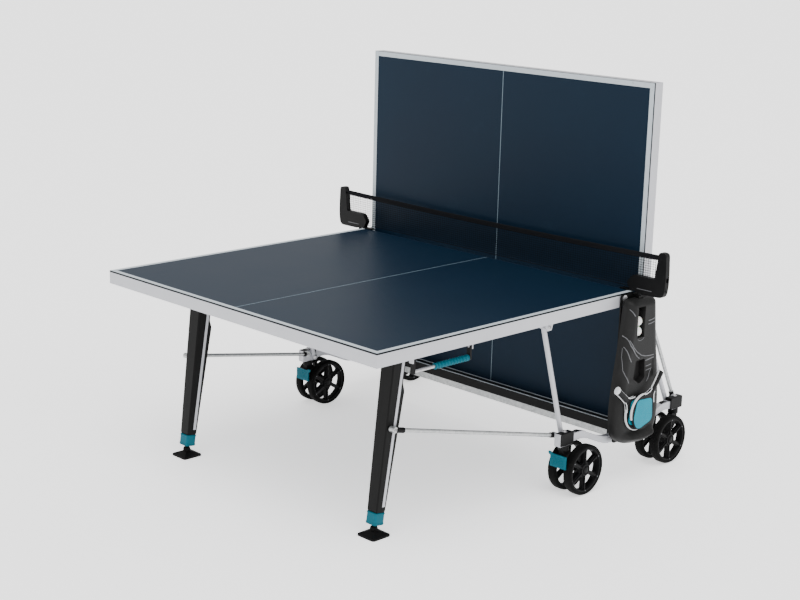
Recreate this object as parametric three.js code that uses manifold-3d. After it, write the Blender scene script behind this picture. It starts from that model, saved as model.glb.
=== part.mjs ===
// Outdoor table-tennis table on a wheeled folding chassis. Millimetres, +Z up, net line across X.
// Each half folds up by itself: the half toward -Y is down for play, the half toward +Y is folded up.
import * as THREE from "three";
import { mergeVertices } from "three/addons/utils/BufferGeometryUtils.js";
import Module from "manifold-3d";

const wasm = await Module();
wasm.setup();

// ---------------------------------------------------------------- overall sizes
const TABLE_WIDTH = 1525;
const HALF_LENGTH = 1365;
const SURFACE_HEIGHT = 760;
const NET_GAP = 5; // from the net line to the end of each board
const FIT = 0.3; // between pieces that touch
const RUN = 0.5; // round a pin or roller

// ---------------------------------------------------------------- table halves
const BOARD_THICK = 6;
const RAIL_HEIGHT = 46;
const RAIL_WIDTH = 25;
const NET_RAIL_WIDTH = 20;
const CROSS_WIDTH = 40;
const CROSS_DEPTH = 22;
const CROSS_STATIONS = [330, 700]; // from the net end, besides the one over the leg axle

// ---------------------------------------------------------------- fold linkage
const PIN_RADIUS = 6;
const PIN_DEPTH = 18; // fold pin below the playing surface
const PIN_OFFSET = 68; // fold pin from the net line
const FOLDED_FOOT = 191; // net end of a folded half above the floor
const ROLLER_RADIUS = 9;
const FOLD_ANGLE = Math.PI / 2;

// ---------------------------------------------------------------- legs
const LEG_INSET = 212.5; // centre of a leg from the side of the table
const LEG_PIVOT_ALONG = 1065; // leg axle from the net end
const LEG_PIVOT_BELOW = 23; // leg axle below the rails
const LEG_SPLAY = THREE.MathUtils.degToRad(7.9);
const LEG_TOP_WIDTH = 66;
const LEG_TOP_DEPTH = 76;
const LEG_FOOT_WIDTH = 50;
const LEG_FOOT_DEPTH = 44;
const FIN_DEPTH = 13;
const FIN_START = 150; // below the leg axle
const AXLE_RADIUS = 10;
const COLLAR_HEIGHT = 45;
const COLLAR_FROM_FLOOR = 45;
const STEM_RADIUS = 9;
const PAD_SIZE = 88;
const PAD_RIM = 7;
const PAD_HEIGHT = 20;
const BALL_HEIGHT = 27;
const BALL_RADIUS = 15;

// ---------------------------------------------------------------- struts and ties
const STRUT_RADIUS = 10;
const STRUT_ALONG = 470.7; // upper end on the half, from the net end
const STRUT_BELOW = 16; // upper end below the rails
const STRUT_BASE_HEIGHT = 227;
const TIE_RADIUS = 8;
const TIE_ON_LEG = 288.5; // down the leg from its axle
const TIE_FORWARD = 12.5;
const TIE_BASE_HEIGHT = 244;
const LINK_INSET = 48.5; // lane of the struts and of the ties' lower ends, from the side of the table
const LINK_WIDTH = 20;
const EYE_RADIUS = 13;
const LUG_THICK = 5;

// ---------------------------------------------------------------- chassis
const ARCH_INSET = 23.5;
const ARCH_WIDTH = 24;
const ARCH_HEIGHT = 30;
const ARCH_HIGH = 247; // top of the tube over the casters
const ARCH_LOW = 186; // top of the tube beside the crossbeam
const ARCH_BEND = 75; // from the socket in to the upper bend
const ARCH_FLAT = 115; // half of the low stretch
const SOCKET_WIDTH = 30;
const BEAM_LOW = 154;
const BEAM_HEIGHT = 27;
const BEAM_DEPTH = 40;
const BEAM_COVER_HEIGHT = 38;
const BEAM_COVER_WALL = 2.5;
const UPRIGHT_CLEAR = 3.5; // from the edge of the table to the upright
const UPRIGHT_THICK = 5;
const UPRIGHT_HALF = 88;
const UPRIGHT_LOW = 160;
const UPRIGHT_BELOW_SURFACE = 4;
const POST_SOCKET_SIZE = 28;
const POST_SOCKET_HEIGHT = 26;

// ---------------------------------------------------------------- casters
const WHEEL_RADIUS = 100;
const WHEEL_WIDTH = 38;
const WHEEL_SPACING = 77; // centre to centre of the twin wheels
const WHEEL_WINDOWS = 6;
const WHEEL_SIDES = 36;
const RIM_WALL = 17;
const HUB_RADIUS = 24;
const SPOKE_WIDTH = 17;
const WHEEL_AXLE_RADIUS = 7;
const SWIVEL_INWARD = 4.7; // swivel axis inward of the middle of its socket
const CASTER_TRAIL = 78;
const FORK_THICK = 22;
const FORK_HEAD_RADIUS = 21;
const FORK_HEAD_HEIGHT = 19;
const SWIVEL_STEM_RADIUS = 10;
const PEDAL_WIDTH = 76;
const PEDAL_HEIGHT = 50;
const PEDAL_THICK = 6;
const FORK_NOSE = 13;
const PEDAL_BARREL = 5;

// ---------------------------------------------------------------- side covers, balls and bats
const COVER_CLEAR = 5; // from the upright to the back edge of the cover
const COVER_DEPTH = 50;
const COVER_WALL = 3;
const COVER_BELOW_SURFACE = 20;
const LEDGE_DEPTH = 31;
const BALL_SIZE = 40;
const BALL_PLACE = -24; // along the table from the net line
const BALL_LEVEL = 612;
const CHANNEL_CLEAR = 2;
const CHANNEL_LENGTH = 125;
const BLADE_RADIUS = 76;
const BLADE_THICK = 12;
const BAT_LENGTH = 255;
const BAT_HANDLE_WIDTH = 27;
const BAT_HANDLE_THICK = 21;
const BAT_LEVEL = 294;
const BAT_GAP = 2;

// ---------------------------------------------------------------- net
const NET_HEIGHT = 152.5;
const POST_OVERHANG = 152.5; // outside of a net post from the side of the table
const POST_THICK = 24;
const ARM_OVERLAP = 27.5; // a post's lower arm over the board
const CLAMP_LENGTH = 30;
const POST_STRIP = 38;
const POST_RISE = 173; // top of a post above the playing surface
const ARM_TOP = 66; // top of a post's lower arm above the playing surface
const NET_TAPE_HEIGHT = 15;
const NET_TAPE_THICK = 4;
const NET_THICK = 1.6;
const NET_SAG = 8;
const LEVER_LENGTH = 34;
const LEVER_WIDTH = 9;

// ---------------------------------------------------------------- handles
const HANDLE_INSET = 22.5;
const HANDLE_PIN_BELOW = 12; // pins below the rails
const HANDLE_DROP = 40; // rod below its pins
const HANDLE_FROM = 893;
const HANDLE_TO = 1178;
const HANDLE_ROD_RADIUS = 6;
const GRIP_RADIUS = 12;
const GRIP_LENGTH = 168;
const HANDLE_PIN_RADIUS = 4;

// ---------------------------------------------------------------- materials
const paint = (color, roughness, metalness = 0) =>
  new THREE.MeshStandardMaterial({ color, roughness, metalness });
const MATERIALS = {
  board: paint(0x2f4354, 0.4),
  rail: paint(0xbfbfc4, 0.5, 0.2),
  black: paint(0x1e1e1f, 0.5),
  teal: paint(0x0090a0, 0.45),
  steel: paint(0xb9bab8, 0.35, 0.9),
  tyre: paint(0x161616, 0.8),
  net: paint(0x101214, 0.9),
  white: paint(0xf2f0ea, 0.4),
};

// ---------------------------------------------------------------- solids
function solid(geometry) {
  const bare = geometry.index ? geometry.toNonIndexed() : geometry.clone();
  bare.deleteAttribute("normal");
  bare.deleteAttribute("uv");
  const merged = mergeVertices(bare, 1e-4);
  return new wasm.Manifold(
    new wasm.Mesh({
      numProp: 3,
      vertProperties: merged.attributes.position.array,
      triVerts: new Uint32Array(merged.index.array),
    }),
  );
}

function geometryOf(manifold) {
  const { vertProperties, triVerts } = manifold.getMesh();
  const geometry = new THREE.BufferGeometry();
  geometry.setAttribute("position", new THREE.BufferAttribute(new Float32Array(vertProperties), 3));
  geometry.setIndex(new THREE.BufferAttribute(new Uint32Array(triVerts), 1));
  return geometry;
}

const join = (...pieces) => geometryOf(pieces.map(solid).reduce((a, b) => a.add(b)));
const cut = (piece, ...tools) => geometryOf(tools.map(solid).reduce((a, b) => a.subtract(b), solid(piece)));

function box(x0, x1, y0, y1, z0, z1) {
  const size = [x1 - x0, y1 - y0, z1 - z0].map(Math.abs);
  return new THREE.BoxGeometry(...size).translate((x0 + x1) / 2, (y0 + y1) / 2, (z0 + z1) / 2);
}

// A round bar between two points given as [x, y, z].
function bar(from, to, radius, sides = 14) {
  const a = new THREE.Vector3(...from);
  const along = new THREE.Vector3(...to).sub(a);
  const upright = new THREE.Vector3(0, 1, 0);
  const turn = new THREE.Quaternion().setFromUnitVectors(upright, along.clone().normalize());
  const middle = a.addScaledVector(along, 0.5);
  return new THREE.CylinderGeometry(radius, radius, along.length(), sides)
    .applyQuaternion(turn)
    .translate(middle.x, middle.y, middle.z);
}

const barX = (x0, x1, y, z, radius, sides) =>
  bar([Math.min(x0, x1), y, z], [Math.max(x0, x1), y, z], radius, sides);

// Outlines: a corner is [a, b] or [a, b, radius]. Rounded corners become arcs of a few points.
function outline(corners, defaultRadius = 0) {
  const shape = new THREE.Shape();
  corners.forEach(([a, b, r = defaultRadius], i) => {
    const corner = new THREE.Vector2(a, b);
    const before = new THREE.Vector2(...corners.at(i - 1).slice(0, 2)).sub(corner);
    const after = new THREE.Vector2(...corners[(i + 1) % corners.length].slice(0, 2)).sub(corner);
    const toward = (edge) => edge.clone().setLength(Math.min(r, edge.length() / 2.3));
    const start = corner.clone().add(toward(before));
    const end = corner.clone().add(toward(after));
    if (i === 0) shape.moveTo(start.x, start.y);
    else shape.lineTo(start.x, start.y);
    if (r > 0) shape.quadraticCurveTo(a, b, end.x, end.y);
  });
  return shape;
}

function extruded(shape, depth, basis, options = {}) {
  const settings = { depth, bevelEnabled: false, curveSegments: 3, ...options };
  const geometry = new THREE.ExtrudeGeometry(shape, settings);
  return geometry.applyMatrix4(new THREE.Matrix4().makeBasis(...basis));
}

const X = new THREE.Vector3(1, 0, 0);
const Y = new THREE.Vector3(0, 1, 0);
const Z = new THREE.Vector3(0, 0, 1);

// A plate whose outline lies in the Y-Z plane, from x0 to x1.
function plateX(shape, x0, x1, options) {
  const low = Math.min(x0, x1);
  return extruded(shape, Math.abs(x1 - x0), [Y, Z, X], options).translate(low, 0, 0);
}

// A plate whose outline lies in the X-Z plane, centred on y = 0.
function plateY(shape, thick) {
  return extruded(shape, thick, [X, Z, Y.clone().negate()]).translate(0, thick / 2, 0);
}

function piece(parent, name, material, geometry) {
  const mesh = new THREE.Mesh(geometry, MATERIALS[material]);
  mesh.name = name;
  parent.add(mesh);
  return mesh;
}

const SIDES = [-1, 1];

// ---------------------------------------------------------------- linkage places
// Seen from the net line: "out" is the distance from it and "up" the height above the floor.
const table = new THREE.Group();
const halfWidth = TABLE_WIDTH / 2;
const pinAlong = PIN_OFFSET - NET_GAP;
const pinFlat = SURFACE_HEIGHT - PIN_DEPTH;
const pinFolded = FOLDED_FOOT + pinAlong;
const railTop = BOARD_THICK + FIT;
const railBottom = BOARD_THICK + RAIL_HEIGHT;
const legPlace = halfWidth - LEG_INSET;
const linkPlace = halfWidth - LINK_INSET;
const handlePlace = halfWidth - HANDLE_INSET;
const legPivotDepth = railBottom + LEG_PIVOT_BELOW;
const strutDepth = railBottom + STRUT_BELOW;
const handlePinDepth = railBottom + HANDLE_PIN_BELOW;

const whenFlat = (along, depth) => ({ out: NET_GAP + along, up: SURFACE_HEIGHT - depth });
const whenFolded = (along, depth) => ({ out: PIN_OFFSET - PIN_DEPTH + depth, up: FOLDED_FOOT + along });

// The floor pivot of a link at a given height, equally far from its far end in both poses.
function basePivot(flat, folded, up) {
  const rise = (flat.up - up) ** 2 - (folded.up - up) ** 2;
  return { out: (flat.out ** 2 - folded.out ** 2 + rise) / (2 * (flat.out - folded.out)), up };
}

function link(flat, folded, up) {
  const base = basePivot(flat, folded, up);
  const angle = (end) => Math.atan2(end.up - base.up, end.out - base.out);
  return {
    base,
    length: Math.hypot(flat.out - base.out, flat.up - base.up),
    flat: angle(flat),
    folded: angle(folded),
  };
}

const legFlat = whenFlat(LEG_PIVOT_ALONG, legPivotDepth);
const legFolded = whenFolded(LEG_PIVOT_ALONG, legPivotDepth);
const onLeg = (pivot, splay) => ({
  out: pivot.out + TIE_ON_LEG * Math.sin(splay) + TIE_FORWARD * Math.cos(splay),
  up: pivot.up - TIE_ON_LEG * Math.cos(splay) + TIE_FORWARD * Math.sin(splay),
});
const tie = link(onLeg(legFlat, LEG_SPLAY), onLeg(legFolded, 0), TIE_BASE_HEIGHT);
const strut = link(whenFlat(STRUT_ALONG, strutDepth), whenFolded(STRUT_ALONG, strutDepth), STRUT_BASE_HEIGHT);

// ---------------------------------------------------------------- one half
// Drawn in (x, along, depth): along from the net end, depth below the playing surface, pin at the origin.
const onHalf = (geometry) => geometry.translate(0, pinAlong, PIN_DEPTH);
const slab = (x0, x1, along0, along1, depth0, depth1) =>
  onHalf(box(x0, x1, -along0, -along1, -depth0, -depth1));
const sideSlab = (corners, x0, x1) => {
  const mirrored = corners.map(([along, depth, r]) => [-along, -depth, r]);
  return onHalf(plateX(outline(mirrored, 3), x0, x1));
};

const boardGeometry = () => slab(-halfWidth, halfWidth, 0, HALF_LENGTH, 0, BOARD_THICK);

const legTopHalf = LEG_TOP_WIDTH / 2;
const axleEnd = legPlace + legTopHalf + 2 + LUG_THICK;
const strutLugInner = halfWidth - RAIL_WIDTH + 1;
const handleLugs = [HANDLE_FROM - LUG_THICK - 1, HANDLE_TO + 1];

function legLug(side, edge) {
  const inner = legPlace + edge * (legTopHalf + 2);
  const root = railTop + CROSS_DEPTH - 2;
  const corners = [
    [LEG_PIVOT_ALONG - 19, root],
    [LEG_PIVOT_ALONG + 19, root],
    [LEG_PIVOT_ALONG + 15, legPivotDepth + 15],
    [LEG_PIVOT_ALONG - 15, legPivotDepth + 15],
  ];
  return sideSlab(corners, side * inner, side * (inner + edge * LUG_THICK));
}

function strutLug(side) {
  const corners = [
    [STRUT_ALONG - 24, railBottom - 2],
    [STRUT_ALONG + 24, railBottom - 2],
    [STRUT_ALONG + 13, strutDepth + 14],
    [STRUT_ALONG - 13, strutDepth + 14],
  ];
  return sideSlab(corners, side * strutLugInner, side * (strutLugInner + LUG_THICK));
}

function handleLug(side, along, pinTo) {
  const x = side * handlePlace;
  const y = -along - LUG_THICK / 2;
  const lug = box(x - 9, x + 9, y - LUG_THICK / 2, y + LUG_THICK / 2, -railBottom + 2, -handlePinDepth - 9);
  const pin = bar([x, y, -handlePinDepth], [x, -pinTo, -handlePinDepth], HANDLE_PIN_RADIUS, 8);
  return onHalf(join(lug, pin));
}

const handleLugsOf = (side) => [
  handleLug(side, handleLugs[0], HANDLE_FROM + 9),
  handleLug(side, handleLugs[1], HANDLE_TO - 9),
];

function frameGeometry(withHandles) {
  const crossings = [...CROSS_STATIONS, LEG_PIVOT_ALONG];
  const rails = SIDES.map((side) =>
    slab(side * (halfWidth - RAIL_WIDTH), side * halfWidth, 0, HALF_LENGTH, railTop, railBottom),
  );
  const crossBottom = railTop + CROSS_DEPTH;
  const inside = halfWidth - RAIL_WIDTH + 1;
  const beamFrom = NET_RAIL_WIDTH - 1;
  const beamTo = HALF_LENGTH - RAIL_WIDTH + 1;
  const members = crossings.map((along) =>
    slab(-inside, inside, along - CROSS_WIDTH / 2, along + CROSS_WIDTH / 2, railTop, crossBottom),
  );
  const joined = join(
    ...rails,
    slab(-inside, inside, 0, NET_RAIL_WIDTH, railTop, railBottom),
    slab(-inside, inside, HALF_LENGTH - RAIL_WIDTH, HALF_LENGTH, railTop, railBottom),
    slab(-CROSS_WIDTH / 2, CROSS_WIDTH / 2, beamFrom, beamTo, railTop, crossBottom),
    ...members,
    ...SIDES.flatMap((side) => SIDES.map((edge) => legLug(side, edge))),
    ...SIDES.map(strutLug),
    ...(withHandles ? SIDES.flatMap(handleLugsOf) : []),
    onHalf(barX(-axleEnd, axleEnd, -LEG_PIVOT_ALONG, -legPivotDepth, AXLE_RADIUS)),
  );
  const boreFrom = halfWidth - RAIL_WIDTH + 3;
  const bores = SIDES.map((side) => barX(side * boreFrom, side * (halfWidth + 1), 0, 0, PIN_RADIUS + RUN));
  return cut(joined, ...bores);
}

// Slide block: fold pin in the rail, roller in the upright's slot and its washer outside.
const uprightInner = halfWidth + UPRIGHT_CLEAR;
const uprightOuter = uprightInner + UPRIGHT_THICK;
function slideBlockGeometry(side) {
  const rollerFrom = uprightInner - 1.5;
  const rollerTo = uprightOuter + RUN;
  return join(
    barX(side * (halfWidth - RAIL_WIDTH + 4), side * (rollerFrom + 1), 0, 0, PIN_RADIUS),
    barX(side * rollerFrom, side * rollerTo, 0, 0, ROLLER_RADIUS, 24),
    barX(side * (rollerTo - 0.1), side * (rollerTo + 3), 0, 0, ROLLER_RADIUS + 4, 24),
  );
}

// ---------------------------------------------------------------- leg, hanging from its axle at the origin
const dropTo = (height) => (legFlat.up - height) / Math.cos(LEG_SPLAY);
const legBottom = dropTo(COLLAR_FROM_FLOOR + COLLAR_HEIGHT);
const collarBottom = dropTo(COLLAR_FROM_FLOOR);

function tapered(geometry, fromZ, toZ, ratio) {
  const position = geometry.getAttribute("position");
  for (let i = 0; i < position.count; i++) {
    const t = THREE.MathUtils.clamp((position.getZ(i) - fromZ) / (toZ - fromZ), 0, 1);
    position.setX(i, position.getX(i) * THREE.MathUtils.lerp(1, ratio, t));
  }
  return geometry;
}

function legGeometry() {
  const front = -LEG_TOP_DEPTH / 2;
  const back = LEG_TOP_DEPTH / 2 - FIN_DEPTH;
  const side = outline([
    [front, 32, 30],
    [back, 32, 24],
    [back, -FIN_START + 22, 6],
    [back + FIN_DEPTH, -FIN_START - 6, 8],
    [LEG_FOOT_DEPTH / 2, -legBottom, 7],
    [-LEG_FOOT_DEPTH / 2, -legBottom, 7],
  ]);
  const bevel = { bevelEnabled: true, bevelThickness: 5, bevelSize: 5, bevelOffset: -5, bevelSegments: 2 };
  const body = plateX(side, -legTopHalf + 5, legTopHalf - 5, bevel);
  tapered(body, 0, -legBottom, LEG_FOOT_WIDTH / LEG_TOP_WIDTH);
  return cut(body, barX(-legTopHalf - 5, legTopHalf + 5, 0, 0, AXLE_RADIUS + RUN));
}

function collarGeometry() {
  const w = LEG_FOOT_WIDTH / 2;
  const d = LEG_FOOT_DEPTH / 2 + 1;
  const ring = outline([[-w, -d], [w, -d], [w, d], [-w, d]], 9);
  const height = collarBottom - legBottom - FIT;
  const body = new THREE.ExtrudeGeometry(ring, { depth: height, bevelEnabled: false, curveSegments: 4 });
  body.translate(0, 0, -collarBottom);
  return cut(body, bar([0, 0, -collarBottom - 5], [0, 0, -legBottom - 8], STEM_RADIUS + RUN, 14));
}

// The pad lies level on the floor while the leg stands splayed.
function footGeometry() {
  const ballDrop = dropTo(BALL_HEIGHT);
  const half = PAD_SIZE / 2;
  const plan = outline([[-half, -half], [half, -half], [half, half], [-half, half]], 12);
  const rim = new THREE.ExtrudeGeometry(plan, { depth: PAD_RIM, bevelEnabled: false, curveSegments: 3 });
  const dome = new THREE.CylinderGeometry(BALL_RADIUS + 2, half * 1.28, PAD_HEIGHT - PAD_RIM, 4, 1);
  dome.rotateX(FOLD_ANGLE).rotateZ(Math.PI / 4).translate(0, 0, (PAD_HEIGHT + PAD_RIM) / 2 - 0.05);
  const pad = join(rim, dome).translate(0, 0, -BALL_HEIGHT).rotateX(LEG_SPLAY).translate(0, 0, -ballDrop);
  const ball = new THREE.SphereGeometry(BALL_RADIUS, 12, 6).translate(0, 0, -ballDrop);
  const stem = bar([0, 0, -ballDrop], [0, 0, -collarBottom + 28], STEM_RADIUS, 14);
  return join(pad, ball, stem);
}

// ---------------------------------------------------------------- links, lying outward from their base pivot
const eye = (radius, y = 0) => barX(-LINK_WIDTH / 2, LINK_WIDTH / 2, y, 0, radius, 16);
const eyeBore = () => barX(-LINK_WIDTH, LINK_WIDTH, 0, 0, PIN_RADIUS + RUN);

function strutGeometry(side) {
  const stubTo = side * (halfWidth - RAIL_WIDTH - RUN - linkPlace);
  const body = join(
    eye(EYE_RADIUS),
    bar([0, -EYE_RADIUS / 2, 0], [0, -strut.length, 0], STRUT_RADIUS, 12),
    eye(EYE_RADIUS, -strut.length),
    barX(0, stubTo, -strut.length, 0, 7, 10),
  );
  return cut(body, eyeBore()).translate(side * linkPlace, 0, 0);
}

const tieEndPlace = axleEnd + TIE_RADIUS + 2;
function tieGeometry(side) {
  const inward = side * (tieEndPlace - linkPlace);
  const bossFrom = side * (tieEndPlace - linkPlace - TIE_RADIUS - 8);
  const body = join(
    eye(EYE_RADIUS - 1),
    bar([0, -EYE_RADIUS / 2, 0], [inward, -tie.length, 0], TIE_RADIUS, 10),
    barX(bossFrom, inward + side * TIE_RADIUS, -tie.length, 0, 11, 12),
  );
  return cut(body, eyeBore()).translate(side * linkPlace, 0, 0);
}

// ---------------------------------------------------------------- carrying handle, hanging from its pins
function handleGeometry(side) {
  const drop = HANDLE_DROP;
  const armThick = 8;
  const arm = (along) => {
    const y = -along;
    return join(
      box(-7, 7, y - armThick / 2, y + armThick / 2, 2, -drop),
      bar([0, y - armThick / 2, 0], [0, y + armThick / 2, 0], 9, 12),
      bar([0, y - armThick / 2, -drop], [0, y + armThick / 2, -drop], 9, 12),
    );
  };
  const armFrom = HANDLE_FROM + armThick / 2;
  const armTo = HANDLE_TO - armThick / 2;
  const gripFrom = HANDLE_FROM + armThick + 2;
  const body = join(
    arm(armFrom),
    arm(armTo),
    bar([0, -armFrom, -drop], [0, -armTo, -drop], HANDLE_ROD_RADIUS, 10),
    bar([0, -gripFrom, -drop], [0, -gripFrom - GRIP_LENGTH, -drop], GRIP_RADIUS, 14),
  );
  const reach = HANDLE_FROM - 20;
  const bore = bar([0, -reach, 0], [0, -HANDLE_TO - 20, 0], HANDLE_PIN_RADIUS + RUN, 10);
  return onHalf(cut(body, bore).translate(side * handlePlace, 0, -handlePinDepth));
}

// ---------------------------------------------------------------- assembling a half at its end of the table
function addHalf(end, turn, folded) {
  const station = new THREE.Group();
  station.rotation.z = turn;
  table.add(station);
  const sideName = (side) => (side * Math.cos(turn) > 0 ? "right" : "left");
  const blend = (flat, up) => THREE.MathUtils.lerp(flat, up, folded);

  const carriage = new THREE.Group();
  carriage.position.set(0, -PIN_OFFSET, blend(pinFlat, pinFolded));
  station.add(carriage);
  const half = new THREE.Group();
  half.rotation.x = -FOLD_ANGLE * folded;
  carriage.add(half);
  const legs = new THREE.Group();
  legs.position.set(0, pinAlong - LEG_PIVOT_ALONG, PIN_DEPTH - legPivotDepth);
  legs.rotation.x = blend(-LEG_SPLAY, FOLD_ANGLE);
  half.add(legs);

  piece(half, `board_${end}`, "board", boardGeometry());
  const withHandles = end === "front";
  piece(half, `frame_${end}`, "rail", frameGeometry(withHandles));
  for (const side of SIDES) {
    const tag = `${end}_${sideName(side)}`;
    piece(carriage, `slide_block_${tag}`, "steel", slideBlockGeometry(side));
    piece(legs, `leg_${tag}`, "black", legGeometry()).position.x = side * legPlace;
    piece(legs, `foot_collar_${tag}`, "teal", collarGeometry()).position.x = side * legPlace;
    piece(legs, `foot_pad_${tag}`, "black", footGeometry()).position.x = side * legPlace;
    if (withHandles) piece(half, `handle_${tag}`, "teal", handleGeometry(side));
    const links = [
      [`strut_${tag}`, strut, strutGeometry(side)],
      [`tie_rod_${tag}`, tie, tieGeometry(side)],
    ];
    for (const [name, made, geometry] of links) {
      const mesh = piece(station, name, "steel", geometry);
      mesh.position.set(0, -made.base.out, made.base.up);
      mesh.rotation.x = -blend(made.flat, made.folded);
    }
  }
}

addHalf("front", 0, 0);
addHalf("rear", Math.PI, 1);

// ---------------------------------------------------------------- chassis
const archPlace = halfWidth - ARCH_INSET;
const archInner = archPlace - ARCH_WIDTH / 2;
const archOuter = archPlace + ARCH_WIDTH / 2;
const socketFrom = Math.min(strut.base.out, tie.base.out) - EYE_RADIUS;
const socketTo = Math.max(strut.base.out, tie.base.out) + EYE_RADIUS;
const swivelOut = (socketFrom + socketTo) / 2 - SWIVEL_INWARD;
const archEnd = socketFrom + 8;
const socketLow = STRUT_BASE_HEIGHT - EYE_RADIUS - 7;
const socketTop = TIE_BASE_HEIGHT + EYE_RADIUS - 1;

function archGeometry(side) {
  const upper = [
    [archEnd, ARCH_HIGH - 4],
    [archEnd - ARCH_BEND, ARCH_HIGH, 30],
    [ARCH_FLAT, ARCH_LOW, 40],
  ];
  const mirror = (points) => points.map(([y, z, r]) => [-y, z, r]).reverse();
  const lower = upper.map(([y, z, r]) => [y - (r ? 6 : 0), z - ARCH_HEIGHT, r]);
  const shape = outline([...upper, ...mirror(upper), ...mirror(lower).reverse(), ...lower.toReversed()], 0);
  const place = side * archPlace;
  const tube = plateX(shape, place - ARCH_WIDTH / 2, place + ARCH_WIDTH / 2);
  const half = SOCKET_WIDTH / 2;
  const ends = SIDES.flatMap((end) => [
    box(place - half, place + half, end * socketFrom, end * socketTo, socketLow, socketTop),
    barX(place, side * (linkPlace - LINK_WIDTH / 2 - 2), end * strut.base.out, strut.base.up, PIN_RADIUS),
    barX(place, side * (linkPlace - LINK_WIDTH / 2 - 2), end * tie.base.out, tie.base.up, PIN_RADIUS),
  ]);
  const bores = SIDES.map((end) =>
    bar([place, end * swivelOut, 150], [place, end * swivelOut, 300], SWIVEL_STEM_RADIUS + RUN, 16),
  );
  return cut(join(tube, ...ends), ...bores);
}

function crossbeamGeometry() {
  const end = archInner - FIT;
  return box(-end, end, -BEAM_DEPTH / 2, BEAM_DEPTH / 2, BEAM_LOW, BEAM_LOW + BEAM_HEIGHT);
}

function crossbeamCoverGeometry() {
  const end = archInner - 4;
  const low = BEAM_LOW + BEAM_HEIGHT + FIT;
  const half = BEAM_DEPTH / 2 + 1;
  const shell = box(-end, end, -half, half, low, low + BEAM_COVER_HEIGHT);
  const inner = half - BEAM_COVER_WALL;
  const roof = low + BEAM_COVER_HEIGHT - BEAM_COVER_WALL;
  return cut(shell, box(-end - 1, end + 1, -inner, inner, low - 1, roof));
}

const uprightTop = SURFACE_HEIGHT - UPRIGHT_BELOW_SURFACE;
const postStemPlace = uprightOuter + POST_SOCKET_SIZE / 2;
const postStemRadius = 8;
function uprightGeometry(side) {
  const shape = outline([
    [-UPRIGHT_HALF, UPRIGHT_LOW, 12],
    [UPRIGHT_HALF, UPRIGHT_LOW, 12],
    [UPRIGHT_HALF, uprightTop, 12],
    [-UPRIGHT_HALF, uprightTop, 12],
  ]);
  const plate = plateX(shape, side * uprightInner, side * uprightOuter);
  const footFrom = archOuter + FIT;
  const foot = box(side * footFrom, side * (uprightInner + 1), -60, 60, UPRIGHT_LOW + 3, ARCH_LOW - 2);
  const size = POST_SOCKET_SIZE;
  const socket = box(side * (uprightOuter - 1), side * (uprightOuter + size), -size / 2, size / 2,
    uprightTop - 8 - POST_SOCKET_HEIGHT, uprightTop - 8);
  const slots = SIDES.flatMap((end) => {
    const y = end * PIN_OFFSET;
    const half = ROLLER_RADIUS + RUN;
    const reach = [side * (uprightInner - 2), side * (uprightOuter + 2)];
    return [
      box(...reach, y - half, y + half, pinFolded, pinFlat),
      barX(...reach, y, pinFolded, half, 24),
      barX(...reach, y, pinFlat, half, 24),
    ];
  });
  const stemHole = bar([side * postStemPlace, 0, uprightTop - 32], [side * postStemPlace, 0, uprightTop + 9],
    postStemRadius + RUN);
  return cut(join(plate, foot, socket), ...slots, stemHole);
}

// ---------------------------------------------------------------- side cover with ball channel and bat ledge
const coverBack = uprightOuter + COVER_CLEAR;
const coverFront = coverBack + COVER_DEPTH;
const COVER_OUTLINE = [
  [0, 150, 30],
  [78, 164, 45],
  [128, 205, 50],
  [138, 300, 60],
  [122, 440, 80],
  [100, 560, 60],
  [86, SURFACE_HEIGHT - 70, 30],
  [80, SURFACE_HEIGHT - COVER_BELOW_SURFACE, 30],
];
const LEDGE_OUTLINE = [
  [-70, 156, 20],
  [70, 156, 20],
  [92, 205, 14],
  [60, 214, 10],
  [-60, 214, 10],
  [-92, 205, 14],
];
const channelRadius = BALL_SIZE / 2 + CHANNEL_CLEAR;
const channelPlace = coverFront - channelRadius;

function coverShape(inset) {
  const middle = SURFACE_HEIGHT / 2;
  const right = COVER_OUTLINE.map(([y, z, r]) => [
    Math.max(y - inset, 0),
    z < middle ? z + inset : z - inset,
    Math.max(r - inset, 1),
  ]);
  const left = right.slice(1).map(([y, z, r]) => [-y, z, r]).reverse();
  return outline([...right, ...left]);
}

function coverGeometry(side) {
  const bevel = { bevelEnabled: true, bevelThickness: 12, bevelSize: 10, bevelOffset: -10, bevelSegments: 2 };
  const outer = plateX(coverShape(0), side * coverBack, side * (coverFront - bevel.bevelThickness), bevel);
  const trimmed = cut(outer, box(side * (coverBack - 40), side * coverBack, -200, 200, 0, 900));
  const hollow = plateX(coverShape(COVER_WALL + 8), side * (coverBack - 5), side * (coverFront - COVER_WALL));
  const channelLow = BALL_LEVEL - channelRadius;
  const channelTop = channelLow + CHANNEL_LENGTH;
  const roof = channelTop - COVER_WALL;
  const middle = [side * channelPlace, BALL_PLACE];
  const wallRadius = channelRadius + COVER_WALL;
  const channelWall = bar([...middle, channelLow - COVER_WALL], [...middle, channelTop], wallRadius, 24);
  const channel = join(
    bar([...middle, channelLow], [...middle, roof], channelRadius, 24),
    box(side * channelPlace, side * (coverFront + 5), BALL_PLACE - channelRadius, BALL_PLACE + channelRadius,
      channelLow, roof),
  );
  const shelf = plateX(outline(LEDGE_OUTLINE), side * (coverFront - 12), side * (coverFront + LEDGE_DEPTH));
  const recess = box(side * (coverFront - 30), side * (coverFront + 5), -24, 24, 408, 495);
  const half = POST_SOCKET_SIZE / 2 + 1;
  const wayTo = postStemPlace + half;
  const socketWay = box(side * (coverBack - 5), side * wayTo, -half, half, uprightTop - 60, uprightTop + 20);
  return cut(join(cut(trimmed, hollow), channelWall, shelf), channel, recess, socketWay);
}

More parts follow.
